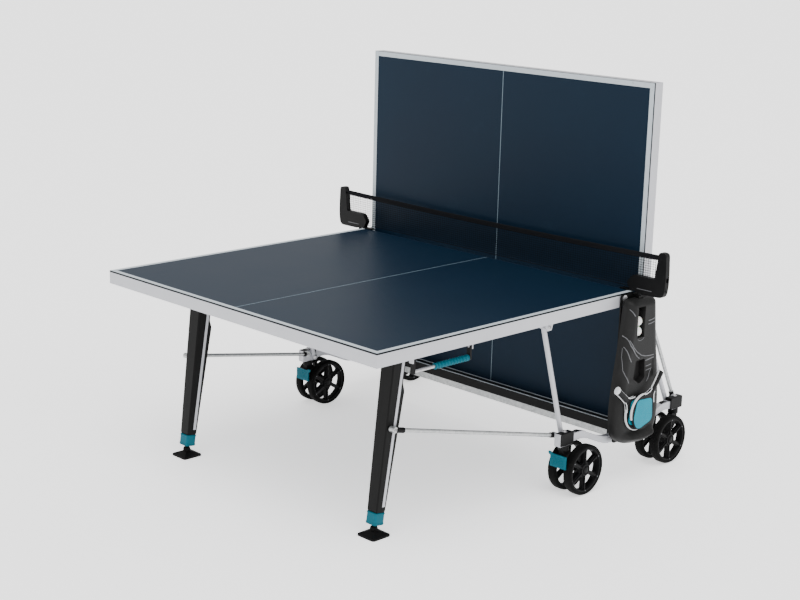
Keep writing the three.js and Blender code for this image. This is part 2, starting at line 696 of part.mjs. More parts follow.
// ---------------------------------------------------------------- net and its posts
const netBottom = SURFACE_HEIGHT + 6;
const postTop = SURFACE_HEIGHT + POST_RISE;
const armTop = SURFACE_HEIGHT + ARM_TOP;
const postReach = halfWidth + POST_OVERHANG;
const stripInner = postReach - POST_STRIP;
const armInner = halfWidth - ARM_OVERLAP;

function postGeometry(side) {
  const low = SURFACE_HEIGHT - 3;
  const corners = [
    [postReach - 4, postTop, 14],
    [stripInner, postTop, 10],
    [stripInner - 14, armTop, 4],
    [armInner + 24, armTop, 14],
    [armInner, armTop - 32, 6],
    [armInner + 16, low + 7, 4],
    [uprightOuter + 8, low + 6, 4],
    [uprightOuter + 24, low, 4],
    [postReach - 8, low, 22],
    [postReach, low + 45, 20],
    [postReach, low + 100, 20],
  ].map(([x, z, r]) => [side * x, z, r]);
  const body = plateY(outline(side > 0 ? corners : corners.toReversed()), POST_THICK);
  const notch = box(side * (postReach - LEVER_WIDTH - 2), side * (postReach + 5), -7, 7, low + 24, low + 80);
  const half = POST_THICK / 2;
  const clampFrom = armInner - CLAMP_LENGTH;
  const clampPad = box(side * clampFrom, side * (armInner + 30), -half, half, low + 5, low + 9);
  const stemPlace = side * postStemPlace;
  const stem = bar([stemPlace, 0, uprightTop - 30], [stemPlace, 0, low + 14], postStemRadius);
  const gap = NET_THICK / 2 + RUN;
  const slit = box(side * (armInner - 30), side * stripInner, -gap, gap, armTop - 52, armTop + 5);
  return cut(join(body, clampPad, stem), notch, slit);
}

const tapeTopAtPost = SURFACE_HEIGHT + NET_HEIGHT + NET_SAG;
const netSag = (x) => NET_SAG * (x / stripInner) ** 2;
function netBand(z0, z1, reach, thick) {
  const steps = 12;
  const xs = Array.from({ length: steps + 1 }, (_, i) => THREE.MathUtils.lerp(-reach, reach, i / steps));
  const upper = xs.map((x) => [x, z1 + netSag(x)]);
  const lower = xs.map((x) => [x, typeof z0 === "number" ? z0 : z0(x)]).reverse();
  return plateY(outline([...upper, ...lower].reverse()), thick);
}

const tapeLow = SURFACE_HEIGHT + NET_HEIGHT - NET_TAPE_HEIGHT;
const postInnerAt = (z) => stripInner - 14 * ((postTop - z) / (postTop - armTop));
function netTapeGeometry() {
  const reach = postInnerAt(tapeLow) - FIT;
  return netBand((x) => tapeLow + netSag(x), tapeLow + NET_TAPE_HEIGHT, reach, NET_TAPE_THICK);
}
function netMeshGeometry() {
  return netBand(netBottom + 10, tapeLow - FIT, postInnerAt(armTop) - 3, NET_THICK);
}

function netLeverGeometry(side) {
  const low = SURFACE_HEIGHT + 24;
  return box(side * (postReach - LEVER_WIDTH), side * (postReach - 1), -6, 6, low, low + LEVER_LENGTH);
}

// ---------------------------------------------------------------- bats and balls
function batGeometry(tilt, place) {
  const blade = new THREE.Shape().absarc(0, 0, BLADE_RADIUS, 0, Math.PI * 2);
  const handleFrom = BLADE_RADIUS - 22;
  const half = BAT_HANDLE_WIDTH / 2;
  const handle = outline([
    [handleFrom - 10, -44, 4], [handleFrom + 26, -half, 16], [BAT_LENGTH - BLADE_RADIUS, -half - 3, 5],
    [BAT_LENGTH - BLADE_RADIUS, half + 3, 5], [handleFrom + 26, half, 16], [handleFrom - 10, 44, 4],
  ]);
  const options = { curveSegments: 20 };
  const thick = BLADE_THICK / 2;
  const body = join(
    plateX(blade, -thick, thick, options),
    plateX(handle, -thick + 1, thick - 1),
    bar([0, BLADE_RADIUS + 8, 0], [0, BAT_LENGTH - BLADE_RADIUS, 0], BAT_HANDLE_THICK / 2 - 3, 12),
  );
  return body.rotateX(tilt).translate(place, 0, 0);
}

// ---------------------------------------------------------------- placing the chassis pieces
const firstBat = coverFront + BLADE_THICK / 2 + BAT_GAP;
for (const side of SIDES) {
  const tag = side > 0 ? "right" : "left";
  piece(table, `chassis_arch_${tag}`, "steel", archGeometry(side));
  piece(table, `side_upright_${tag}`, "black", uprightGeometry(side));
  piece(table, `side_cover_${tag}`, "black", coverGeometry(side));
  piece(table, `net_post_${tag}`, "black", postGeometry(side));
}
piece(table, "crossbeam", "steel", crossbeamGeometry());
piece(table, "crossbeam_cover", "black", crossbeamCoverGeometry());
piece(table, "net_mesh", "net", netMeshGeometry());
piece(table, "net_tape", "net", netTapeGeometry());
piece(table, "net_tension_lever", "black", netLeverGeometry(1));

const batTurns = [THREE.MathUtils.degToRad(140), THREE.MathUtils.degToRad(54)];
const batPlaces = [-28, -12];
["bat_rear", "bat_front"].forEach((name, i) => {
  const place = firstBat + i * (BLADE_THICK + BAT_GAP + 1);
  const mesh = piece(table, name, "teal", batGeometry(batTurns[i], place));
  mesh.position.set(0, batPlaces[i], BAT_LEVEL);
});
["ball_lower", "ball_upper"].forEach((name, i) => {
  const ball = piece(table, name, "white", new THREE.SphereGeometry(BALL_SIZE / 2, 14, 9));
  ball.position.set(channelPlace, BALL_PLACE, BALL_LEVEL + i * (BALL_SIZE + RUN));
});

// ---------------------------------------------------------------- casters
// Points on an arc about the origin, from one angle to another.
function arcPoints(radius, from, to, steps) {
  return Array.from({ length: steps + 1 }, (_, i) => {
    const angle = THREE.MathUtils.lerp(from, to, i / steps);
    return new THREE.Vector2(radius * Math.cos(angle), radius * Math.sin(angle));
  });
}

function wheelShape() {
  const disc = new THREE.Shape(arcPoints(WHEEL_RADIUS, 0, Math.PI * 2, WHEEL_SIDES).slice(1));
  const inner = HUB_RADIUS + 4;
  const outer = WHEEL_RADIUS - RIM_WALL;
  const pitch = Math.PI / WHEEL_WINDOWS;
  const outerSpread = pitch - SPOKE_WIDTH / 2 / outer;
  const innerSpread = pitch - SPOKE_WIDTH / 2 / inner;
  for (let i = 0; i < WHEEL_WINDOWS; i++) {
    const middle = 2 * pitch * i;
    disc.holes.push(
      new THREE.Path([
        ...arcPoints(outer, middle - outerSpread, middle + outerSpread, 4),
        ...arcPoints(inner, middle + innerSpread, middle - innerSpread, 1),
      ]),
    );
  }
  return disc;
}

function twinWheelGeometry() {
  const middle = WHEEL_SPACING / 2;
  const half = WHEEL_WIDTH / 2;
  const wheel = (side) => plateX(wheelShape(), side * (middle - half), side * (middle + half));
  const hubFrom = FORK_THICK / 2 + 1;
  return join(
    wheel(-1),
    wheel(1),
    ...SIDES.map((side) => barX(side * hubFrom, side * (middle + half - 4), 0, 0, HUB_RADIUS, 16)),
    barX(-middle, middle, 0, 0, WHEEL_AXLE_RADIUS, 12),
  );
}

// Drawn with the swivel axis at the origin and the wheels trailing along +Y.
const headTop = socketLow - FIT;
function forkGeometry() {
  const headLow = headTop - FORK_HEAD_HEIGHT;
  const side = outline([
    [-14, headLow + 2, 3],
    [16, headLow + 2, 3],
    [CASTER_TRAIL + 14, WHEEL_RADIUS + 14, 10],
    [CASTER_TRAIL + 14, WHEEL_RADIUS - 14, 10],
    [CASTER_TRAIL - 14, WHEEL_RADIUS - 14, 10],
    [-2, WHEEL_RADIUS + 30, 10],
    [-FORK_NOSE, WHEEL_RADIUS + 50, 5],
  ]);
  const arm = plateX(side, -FORK_THICK / 2, FORK_THICK / 2);
  const head = bar([0, 0, headLow], [0, 0, headTop], FORK_HEAD_RADIUS, 20);
  const stem = bar([0, 0, headLow], [0, 0, socketTop + 3], SWIVEL_STEM_RADIUS, 16);
  const bore = barX(-FORK_THICK, FORK_THICK, CASTER_TRAIL, WHEEL_RADIUS, WHEEL_AXLE_RADIUS + RUN, 12);
  return cut(join(arm, head, stem), bore);
}

const pedalPivot = { out: FORK_NOSE + PEDAL_BARREL + 2, up: WHEEL_RADIUS + 62 };
function pedalGeometry() {
  const reach = Math.max(WHEEL_RADIUS - CASTER_TRAIL + 2.5, pedalPivot.out + PEDAL_BARREL - 0.5);
  const low = WHEEL_RADIUS + 21;
  const face = box(-PEDAL_WIDTH / 2, PEDAL_WIDTH / 2, -reach - PEDAL_THICK, -reach, low, low + PEDAL_HEIGHT);
  const arm = box(-7, 7, -reach - 1, -pedalPivot.out, pedalPivot.up - 4, pedalPivot.up + 4);
  const barrel = barX(-8, 8, -pedalPivot.out, pedalPivot.up, PEDAL_BARREL, 12);
  return join(face, arm, barrel);
}

for (const [end, endSign] of [["front", -1], ["rear", 1]]) {
  for (const side of SIDES) {
    const tag = `${end}_${side > 0 ? "right" : "left"}`;
    const caster = new THREE.Group();
    caster.position.set(side * archPlace, endSign * swivelOut, 0);
    caster.rotation.z = endSign > 0 ? Math.PI : 0;
    table.add(caster);
    piece(caster, `caster_fork_${tag}`, "black", forkGeometry());
    const wheels = piece(caster, `twin_wheel_${tag}`, "tyre", twinWheelGeometry());
    wheels.position.set(0, CASTER_TRAIL, WHEEL_RADIUS);
    if (end === "front") piece(caster, `brake_pedal_${tag}`, "teal", pedalGeometry());
  }
}

// The part's frame stands on the floor under the middle of the table as it is set up here.
const bounds = new THREE.Box3().setFromObject(table, true);
table.position.y = -(bounds.min.y + bounds.max.y) / 2;
const group = new THREE.Group();
group.add(table);

export default group;
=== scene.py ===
"""Looks for the folding outdoor table-tennis table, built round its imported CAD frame.

Pieces are drawn in millimetres in the axes of the part of the table that they belong to, and
each of those places is a matrix into the frame's metres.
"""

import math

import bmesh
import bpy
from mathutils import Matrix, Vector


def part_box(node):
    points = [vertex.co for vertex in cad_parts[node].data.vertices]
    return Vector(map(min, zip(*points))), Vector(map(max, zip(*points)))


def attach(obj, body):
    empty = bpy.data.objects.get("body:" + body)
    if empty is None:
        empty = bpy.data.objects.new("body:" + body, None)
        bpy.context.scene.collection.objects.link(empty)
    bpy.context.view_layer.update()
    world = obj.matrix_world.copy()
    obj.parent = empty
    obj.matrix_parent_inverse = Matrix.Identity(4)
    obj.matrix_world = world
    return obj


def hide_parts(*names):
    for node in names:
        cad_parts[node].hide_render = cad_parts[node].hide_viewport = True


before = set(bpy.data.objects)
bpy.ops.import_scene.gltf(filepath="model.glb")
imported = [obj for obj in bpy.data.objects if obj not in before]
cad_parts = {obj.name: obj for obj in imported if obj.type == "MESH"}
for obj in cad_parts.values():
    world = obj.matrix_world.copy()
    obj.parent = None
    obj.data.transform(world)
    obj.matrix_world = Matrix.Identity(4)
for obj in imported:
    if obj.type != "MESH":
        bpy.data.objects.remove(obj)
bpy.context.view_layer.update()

MM = 0.001
SIDES = (-1, 1)
ENDS = ("front", "rear")


# ---------------------------------------------------------------- camera
CAMERA_PLACE = Vector((4.2369, -4.2312, 2.1559))
CAMERA_FORWARD = Vector((-0.68811, 0.68340, -0.24388))
CAMERA_RIGHT = Vector((0.69995, 0.71375, 0.02515))
CAMERA_LENS = 69.44


def set_camera():
    lens = bpy.data.cameras.new("camera")
    lens.lens = CAMERA_LENS
    lens.sensor_width = 36
    lens.clip_end = 200
    camera = bpy.data.objects.new("camera", lens)
    forward = CAMERA_FORWARD.normalized()
    up = CAMERA_RIGHT.cross(forward).normalized()
    right = forward.cross(up)
    turn = Matrix((right, up, -forward)).transposed().to_4x4()
    camera.matrix_world = Matrix.Translation(CAMERA_PLACE) @ turn
    bpy.context.scene.collection.objects.link(camera)
    bpy.context.scene.camera = camera


set_camera()


# ---------------------------------------------------------------- finishes
class Socket:
    """An output in a finish's node tree. Arithmetic on it adds Math nodes."""

    def __init__(self, finish, output):
        self.finish = finish
        self.output = output

    def math(self, operation, *values):
        sockets = dict(enumerate((self, *values)))
        return self.finish.node("ShaderNodeMath", {"operation": operation}, sockets)

    def __add__(self, other):
        return self.math("ADD", other)

    def __mul__(self, other):
        return self.math("MULTIPLY", other)

    def __sub__(self, other):
        return self.math("SUBTRACT", other)

    def __rsub__(self, other):
        return self.finish.node("ShaderNodeMath", {"operation": "SUBTRACT"}, {0: other, 1: self})

    __radd__ = __add__
    __rmul__ = __mul__


class Finish:
    """A material, its procedural texture laid out in the piece's own metres."""

    def __init__(self, name):
        self.material = bpy.data.materials.new(name)
        self.material.use_nodes = True
        self.tree = self.material.node_tree
        self.tree.nodes.clear()
        self.place = self.node("ShaderNodeTexCoord", output="Object")

    def node(self, kind, settings=None, sockets=None, output=0):
        made = self.tree.nodes.new(kind)
        for key, value in (settings or {}).items():
            if key == "stops":
                for i, (position, level) in enumerate(value):
                    elements = made.color_ramp.elements
                    stop = elements[i] if i < 2 else elements.new(position)
                    stop.position = position
                    stop.color = (level, level, level, 1)
            else:
                setattr(made, key, value)
        for key, value in (sockets or {}).items():
            if isinstance(value, Socket):
                self.tree.links.new(value.output, made.inputs[key])
            else:
                made.inputs[key].default_value = value
        return Socket(self, made.outputs[output])

    def stretched(self, *scale):
        return self.node("ShaderNodeVectorMath", {"operation": "MULTIPLY"}, {0: self.place, 1: scale})

    def noise(self, scale, detail=3.0, rough=0.55, place=None):
        sockets = {"Vector": place or self.place, "Scale": scale, "Detail": detail, "Roughness": rough}
        return self.node("ShaderNodeTexNoise", {}, sockets)

    def cells(self, scale, output="Distance", place=None):
        sockets = {"Vector": place or self.place, "Scale": scale}
        return self.node("ShaderNodeTexVoronoi", {}, sockets, output)

    def ramp(self, value, *stops):
        return self.node("ShaderNodeValToRGB", {"stops": stops}, {"Fac": value})

    def tint(self, factor, first, second):
        colors = {0: factor, 6: first, 7: second}
        return self.node("ShaderNodeMix", {"data_type": "RGBA"}, colors, 2)

    def facing(self, axis):
        """How squarely the surface faces along an axis of the piece, from 0 to 1."""
        normal = self.node("ShaderNodeTexCoord", output="Normal")
        parts = self.node("ShaderNodeSeparateXYZ", {}, {0: normal}, "XYZ".index(axis))
        return parts.math("ABSOLUTE")

    def done(self, color, roughness, bumps=(), metallic=0.0, **fixed):
        sockets = {"Base Color": color, "Roughness": roughness, "Metallic": metallic, **fixed}
        normal = None
        for height, distance in bumps:
            bump = {"Height": height, "Distance": distance, "Strength": 1.0}
            if normal:
                bump["Normal"] = normal
            normal = self.node("ShaderNodeBump", {}, bump)
        if normal:
            sockets["Normal"] = normal
        shader = self.node("ShaderNodeBsdfPrincipled", {}, sockets)
        closing(self, shader)
        return self.material


def closing(finish, shader):
    """Ends a finish's tree; the output node has no outputs to wrap."""
    output = finish.tree.nodes.new("ShaderNodeOutputMaterial")
    finish.tree.links.new(shader.output, output.inputs["Surface"])


def linear(red, green, blue):
    """A colour given as 0-255 display values."""
    def one(c):
        c /= 255
        return c / 12.92 if c <= 0.04045 else ((c + 0.055) / 1.055) ** 2.4
    return (one(red), one(green), one(blue), 1.0)


def laminate(name, axis):
    """Blue playing laminate: satin, faintly textured, with ball marks and a dark sawn edge."""
    f = Finish(name)
    clouds = f.noise(2.2, 4, 0.6)
    grain = f.noise(1400, 2, 0.5)
    peel = f.noise(260, 2, 0.4)
    scuffs = f.ramp(f.noise(9, 5, 0.7, f.stretched(1, 0.18, 1)), (0.6, 0), (0.72, 1))
    marks = f.ramp(f.cells(6.5), (0.02, 1), (0.045, 0))
    worn = scuffs * 0.35 + marks * 0.25
    blue = f.tint(clouds, linear(8, 26, 42), linear(12, 33, 50))
    blue = f.tint(worn * 0.25, blue, linear(36, 56, 72))
    face = f.ramp(f.facing(axis), (0.5, 0), (0.8, 1))
    color = f.tint(face, linear(10, 14, 19), blue)
    roughness = 0.4 + clouds * 0.06 + grain * 0.05 + worn * 0.08
    bumps = ((peel, 0.0001), (grain, 0.00003))
    return f.done(color, roughness, bumps, **{"Specular IOR Level": 0.11})


def rail_paint(name):
    """Silver-grey baked paint with a fine flake and slight handling marks."""
    f = Finish(name)
    flake = f.noise(5200, 1, 0.5)
    clouds = f.noise(7, 4, 0.6)
    streaks = f.noise(16, 4, 0.6, f.stretched(0.12, 0.12, 1))
    rubbed = f.ramp(f.noise(38, 6, 0.7), (0.58, 0), (0.74, 1))
    grey = f.tint(clouds, linear(166, 167, 172), linear(182, 183, 188))
    grey = f.tint(flake * 0.35, grey, linear(204, 205, 210))
    color = f.tint(rubbed * 0.25, grey, linear(158, 159, 164))
    roughness = 0.36 + streaks * 0.1 + rubbed * 0.12
    return f.done(color, roughness, ((flake, 0.00002), (clouds, 0.0002)), 0.35)


def zinc(name):
    """Galvanised tube: soft spangle, dull patches and drawn lines."""
    f = Finish(name)
    spangle = f.cells(120, "Color")
    spangle = f.node("ShaderNodeSeparateColor", {}, {0: spangle})
    patches = f.noise(14, 5, 0.65)
    drawn = f.noise(420, 2, 0.5, f.stretched(0.04, 0.04, 1))
    grey = f.tint(spangle * 0.5 + patches * 0.5, linear(150, 153, 155), linear(205, 206, 205))
    dull = f.ramp(patches, (0.55, 0), (0.72, 1))
    color = f.tint(dull * 0.35, grey, linear(126, 128, 129))
    roughness = 0.26 + spangle * 0.12 + patches * 0.14
    return f.done(color, roughness, ((drawn, 0.00003), (patches, 0.0001)), 0.78)


def bright_metal(name, tone=200):
    """Turned and zinc-plated fittings."""
    f = Finish(name)
    brushed = f.noise(900, 3, 0.6, f.stretched(0.2, 1, 0.2))
    stain = f.ramp(f.noise(60, 4, 0.6), (0.5, 0), (0.75, 1))
    color = f.tint(brushed * 0.5 + stain * 0.3, linear(tone, tone, tone + 2), linear(120, 120, 122))
    return f.done(color, 0.2 + brushed * 0.18 + stain * 0.12, ((brushed, 0.00002),), 0.95)


def leg_paint(name):
    """Black satin powder coat on steel, with a fine texture and a few rubbed spots."""
    f = Finish(name)
    powder = f.noise(1900, 2, 0.5)
    clouds = f.noise(8, 4, 0.6)
    rubbed = f.ramp(f.noise(30, 6, 0.72), (0.6, 0), (0.75, 1))
    black = f.tint(clouds, linear(9, 9, 9), linear(15, 15, 15))
    color = f.tint(rubbed * 0.15, black, linear(40, 40, 40))
    roughness = 0.4 + powder * 0.08 + rubbed * 0.14
    return f.done(color, roughness, ((powder, 0.00006), (clouds, 0.0002)), **{"Specular IOR Level": 0.1})


def moulding(name, dark, light, base_rough=0.42, grain_depth=0.00008):
    """Injection-moulded plastic with a spark-eroded grain, faint flow marks and dust."""
    f = Finish(name)
    grain = f.cells(950)
    flow = f.noise(5, 4, 0.6, f.stretched(1, 1, 0.35))
    dust = f.ramp(f.noise(45, 6, 0.7), (0.56, 0), (0.8, 1))
    color = f.tint(flow, dark, light)
    pale = tuple(min(1.0, c * 1.7 + 0.012) for c in light[:3]) + (1.0,)
    color = f.tint(dust * 0.3, color, pale)
    roughness = base_rough + grain * 0.12 + dust * 0.12
    bumps = ((grain, grain_depth), (flow, 0.0002))
    return f.done(color, roughness, bumps, **{"Specular IOR Level": 0.12})


def tyre_rubber(name):
    """Dull black tread rubber with scuffs and a little grey dust."""
    f = Finish(name)
    fine = f.noise(1300, 3, 0.6)
    scuff = f.ramp(f.noise(70, 6, 0.75, f.stretched(0.3, 1, 1)), (0.5, 0), (0.72, 1))
    color = f.tint(scuff * 0.3, linear(9, 9, 9), linear(36, 36, 35))
    roughness = 0.62 + fine * 0.12 + scuff * 0.15
    bumps = ((fine, 0.0001), (scuff, 0.0001))
    return f.done(color, roughness, bumps, **{"Specular IOR Level": 0.06})


def thread(name, dark, light, scale=1500):
    """Twisted synthetic yarn, or a close plain weave where the scale is fine."""
    f = Finish(name)
    sockets = {"Vector": f.place, "Scale": scale, "Distortion": 0.6}
    warp = f.node("ShaderNodeTexWave", {"bands_direction": "X"}, sockets)
    weft = f.node("ShaderNodeTexWave", {"bands_direction": "Z"}, sockets)
    weave = warp.math("MAXIMUM", weft)
    worn = f.noise(35, 5, 0.65)
    color = f.tint(weave * 0.6 + worn * 0.4, dark, light)
    return f.done(color, 0.82 + worn * 0.1, ((weave, 0.0002),), **{"Specular IOR Level": 0.06})


def line_paint(name, tone):
    """Screen-printed paint: slightly uneven, with scuffed spots."""
    f = Finish(name)
    even = f.noise(130, 4, 0.6)
    scuff = f.ramp(f.noise(48, 6, 0.75), (0.56, 0), (0.7, 1))
    color = f.tint(even * 0.4, linear(*tone), linear(*(c - 18 for c in tone)))
    color = f.tint(scuff * 0.3, color, linear(*(c - 70 for c in tone)))
    return f.done(color, 0.42 + even * 0.08 + scuff * 0.1, ((even, 0.00003),))


def bat_rubber(name):
    """Soft teal bat face with close round pimples."""
    f = Finish(name)
    pimples = f.ramp(f.cells(520), (0.25, 1), (0.45, 0))
    clouds = f.noise(12, 4, 0.6)
    rubbed = f.ramp(f.noise(26, 6, 0.7), (0.55, 0), (0.75, 1))
    teal = f.tint(clouds, linear(0, 116, 136), linear(0, 134, 152))
    color = f.tint(rubbed * 0.15 + pimples * 0.08, teal, linear(12, 158, 172))
    return f.done(color, 0.44 + rubbed * 0.14, ((pimples, 0.0002),), **{"Specular IOR Level": 0.1})


def celluloid(name):
    """Matt white ball shell."""
    f = Finish(name)
    fine = f.noise(900, 3, 0.6)
    clouds = f.noise(40, 4, 0.6)
    color = f.tint(clouds, linear(236, 234, 228), linear(248, 247, 243))
    return f.done(color, 0.5 + fine * 0.1, ((fine, 0.00003),), **{"Subsurface Weight": 0.08})


def floor_finish(name):
    f = Finish(name)
    clouds = f.noise(0.8, 4, 0.5)
    color = f.tint(clouds, (0.92, 0.92, 0.923, 1), (0.935, 0.935, 0.938, 1))
    return f.done(color, 0.6 + clouds * 0.05, ((clouds, 0.0002),),
                  **{"Specular IOR Level": 0.2, "Emission Color": (1, 1, 1, 1), "Emission Strength": 0.9})


BOARD = {"front": laminate("blue_laminate_flat", "Z"), "rear": laminate("blue_laminate_upright", "Y")}
RAIL = rail_paint("silver_rail_paint")
ZINC = zinc("galvanised_tube")
BRIGHT = bright_metal("plated_fitting")
LEG = leg_paint("black_powder_coat")
BLACK = moulding("black_moulding", linear(8, 8, 9), linear(15, 15, 16))
SHELL = moulding("cover_moulding", linear(22, 22, 22), linear(32, 32, 32), 0.4, 0.00012)
TEAL = moulding("teal_moulding", linear(0, 80, 96), linear(0, 94, 108), 0.36, 0.00005)
FOOT = moulding("foot_rubber", linear(5, 5, 5), linear(10, 10, 10), 0.6, 0.0002)
TYRE = tyre_rubber("tyre_rubber")
NET_THREAD = thread("net_thread", linear(9, 9, 11), linear(24, 25, 28))
NET_TAPE = thread("net_tape_weave", linear(8, 8, 10), linear(24, 25, 28), 900)
STITCH = thread("stitch_thread", linear(26, 27, 30), linear(46, 47, 51), 2000)
LINE = line_paint("court_line_paint", (186, 195, 201))
THIN_LINE = line_paint("centre_line_paint", (110, 130, 142))
ACCENT = line_paint("grey_accent_paint", (88, 89, 92))
BAT_FACE = bat_rubber("teal_bat_rubber")
BAT_FRAME = moulding("white_bat_frame", linear(196, 198, 200), linear(222, 223, 225), 0.34, 0.00004)
BALL = celluloid("ball_shell")


# ---------------------------------------------------------------- places
def spot(node, which, axis):
    """A side of a CAD node's box, in millimetres."""
    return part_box(node)[which]["xyz".index(axis)] / MM


NET_LINE = (spot("crossbeam", 0, "y") + spot("crossbeam", 1, "y")) / 2
SURFACE = spot("board_front", 1, "z")
HALF_WIDTH = spot("board_front", 1, "x")
NET_GAP = NET_LINE - spot("board_front", 1, "y")
FOLDED_FACE = spot("board_rear", 0, "y") - NET_LINE
FOLDED_FOOT = spot("board_rear", 0, "z")
HALF_LENGTH = spot("board_rear", 1, "z") - FOLDED_FOOT
FRONT_SPLAY = math.radians(7.9)
LEG_ALONG = 1065
LEG_DEPTH = 75

NET = Matrix.Translation((0, NET_LINE * MM, 0)) @ Matrix.Scale(MM, 4)
STATION = {"front": NET, "rear": NET @ Matrix.Rotation(math.pi, 4, "Z")}


def axes(x, y, z, origin):
    """A matrix from where its three axes and its origin go."""
    turn = Matrix((x, y, z)).transposed().to_4x4()
    return Matrix.Translation(origin) @ turn


# A half's own axes are x, the distance along it from its net end, and the depth under its surface.
HALF = {
    "front": STATION["front"] @ axes((1, 0, 0), (0, -1, 0), (0, 0, -1), (0, -NET_GAP, SURFACE)),
    "rear": STATION["rear"] @ axes((1, 0, 0), (0, 0, 1), (0, -1, 0), (0, -FOLDED_FACE, FOLDED_FOOT)),
}

# A leg's own axes have its axle at the origin, +y toward its fin and -z down the leg.
LEGS = {
    "front": STATION["front"]
    @ Matrix.Translation((0, -NET_GAP - LEG_ALONG, SURFACE - LEG_DEPTH))
    @ Matrix.Rotation(-FRONT_SPLAY, 4, "X"),
    "rear": STATION["rear"] @ Matrix.Translation((0, -FOLDED_FACE - LEG_DEPTH, FOLDED_FOOT + LEG_ALONG)),
}


def tag_of(end, side):
    """The name of an end's piece on a side of its own axes."""
    turned = side if end == "front" else -side
    return f"{end}_{'right' if turned > 0 else 'left'}"


# ---------------------------------------------------------------- drawing
def rounded(corners, steps=7):
    """A closed outline from corners (a, b, radius)."""
    points = []
    for i, (a, b, r) in enumerate(corners):
        here = Vector((a, b))
        before = Vector(corners[i - 1][:2]) - here
        after = Vector(corners[(i + 1) % len(corners)][:2]) - here
        if r <= 0:
            points.append((a, b))
            continue
        start = here + before.normalized() * min(r, before.length / 2.3)
        end = here + after.normalized() * min(r, after.length / 2.3)
        for k in range(steps + 1):
            t = k / steps
            point = start * (1 - t) ** 2 + here * 2 * t * (1 - t) + end * t * t
            points.append(tuple(point))
    return points


def circle(radius, steps=48, centre=(0, 0), start=0.0):
    turn = 2 * math.pi / steps
    return [
        (centre[0] + radius * math.cos(start + i * turn), centre[1] + radius * math.sin(start + i * turn))
        for i in range(steps)
    ]


LAID = {
    "x": lambda u, v, w: (w, u, v),
    "y": lambda u, v, w: (u, w, v),
    "z": lambda u, v, w: (u, v, w),
}


class Drawing:
    """A piece being drawn, in the millimetres of a place."""

    def __init__(self, place=NET):
        self.mesh = bmesh.new()
        self.place = place

    def point(self, x, y, z):
        return self.mesh.verts.new(self.place @ Vector((x, y, z)))

    def box(self, x0, x1, y0, y1, z0, z1):
        outline = [(x0, y0), (x1, y0), (x1, y1), (x0, y1)]
        return self.plate([outline], z0, z1, "z")

    def plate(self, loops, low, high, axis="x"):
        """A flat plate with holes. Loops are (y, z), (x, z) or (x, y), the first one outside."""
        layers = []
        for w in (low, high):
            rings = [[self.point(*LAID[axis](u, v, w)) for u, v in loop] for loop in loops]
            if len(rings) == 1:
                self.mesh.faces.new(rings[0])
            else:
                edges = [self.mesh.edges.new((r[i - 1], r[i])) for r in rings for i in range(len(r))]
                bmesh.ops.triangle_fill(self.mesh, edges=edges, use_beauty=True)
            layers.append(rings)
        for lower, upper in zip(*layers):
            for i in range(len(lower)):
                self.mesh.faces.new((lower[i - 1], lower[i], upper[i], upper[i - 1]))
        return self

    def rings(self, rows, closed=False, capped=True):
        """Faces between rings of points; a closed run joins its last ring to its first."""
        made = [[self.point(*p) for p in row] for row in rows]
        pairs = list(zip(made, made[1:])) + ([(made[-1], made[0])] if closed else [])
        for one, two in pairs:
            for i in range(len(one)):
                self.mesh.faces.new((one[i - 1], one[i], two[i], two[i - 1]))
        if capped and not closed:
            self.mesh.faces.new(made[0])
            self.mesh.faces.new(list(reversed(made[-1])))
        return self

    def turned(self, profile, centre=(0, 0, 0), axis="x", steps=40, closed=False):
        """A turned shape; its profile is (radius, along the axis)."""
        rows = []
        for radius, along in profile:
            row = []
            for a, b in circle(max(radius, 0.01), steps):
                at = LAID[axis](a, b, along)
                row.append(tuple(c + d for c, d in zip(at, centre)))
            rows.append(row)
        return self.rings(rows, closed)

    def swept(self, points, section, closed=False, up=(0, 0, 1)):
        """A section (a, b) carried along points; a number stands for a round one's radius."""
        if not isinstance(section, list):
            section = circle(section, 10)
        line = [Vector(p) for p in points]
        rows = []
        for i, here in enumerate(line):
            ahead = line[(i + 1) % len(line)] if closed or i + 1 < len(line) else here
            behind = line[i - 1] if closed or i else here
            along = (ahead - behind).normalized()
            side = along.cross(Vector(up)).normalized()
            over = side.cross(along)
            rows.append([tuple(here + side * a + over * b) for a, b in section])
        return self.rings(rows, closed)

    def bolt(self, centre, axis="x", toward=1, radius=6.0, height=5.0):
        """A washer and a domed head with a socket in it."""
        profile = [
            (radius * 1.5, 0), (radius * 1.5, 1.0), (radius * 1.4, 1.4), (radius * 1.02, 1.5),
            (radius, height * 0.6), (radius * 0.85, height * 0.9), (radius * 0.5, height),
            (radius * 0.45, height * 0.55), (0, height * 0.5),
        ]
        return self.turned([(r, toward * a) for r, a in profile], centre, axis, 20)

    def made(self, name, finish, body, slot, soften=0.0, sharp=35, segments=3):
        """Turns the drawing into a piece that rides on a body."""
        bmesh.ops.remove_doubles(self.mesh, verts=self.mesh.verts, dist=0.002 * MM)
        bmesh.ops.recalc_face_normals(self.mesh, faces=self.mesh.faces)
        data = bpy.data.meshes.new(name)
        self.mesh.to_mesh(data)
        self.mesh.free()
        piece = bpy.data.objects.new(name, data)
        bpy.context.scene.collection.objects.link(piece)
        data.materials.append(finish)
        smooth(data, sharp)
        if soften:
            bevel(piece, soften, sharp, segments)
        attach(piece, body)
        return piece


def smooth(data, sharp):
    data.polygons.foreach_set("use_smooth", [True] * len(data.polygons))
    data.set_sharp_from_angle(angle=math.radians(sharp))


def bevel(piece, width, sharp=35, segments=3):
    modifier = piece.modifiers.new("softened edges", "BEVEL")
    modifier.width = width * MM
    modifier.segments = segments
    modifier.limit_method = "ANGLE"
    modifier.angle_limit = math.radians(sharp)
    modifier.harden_normals = True


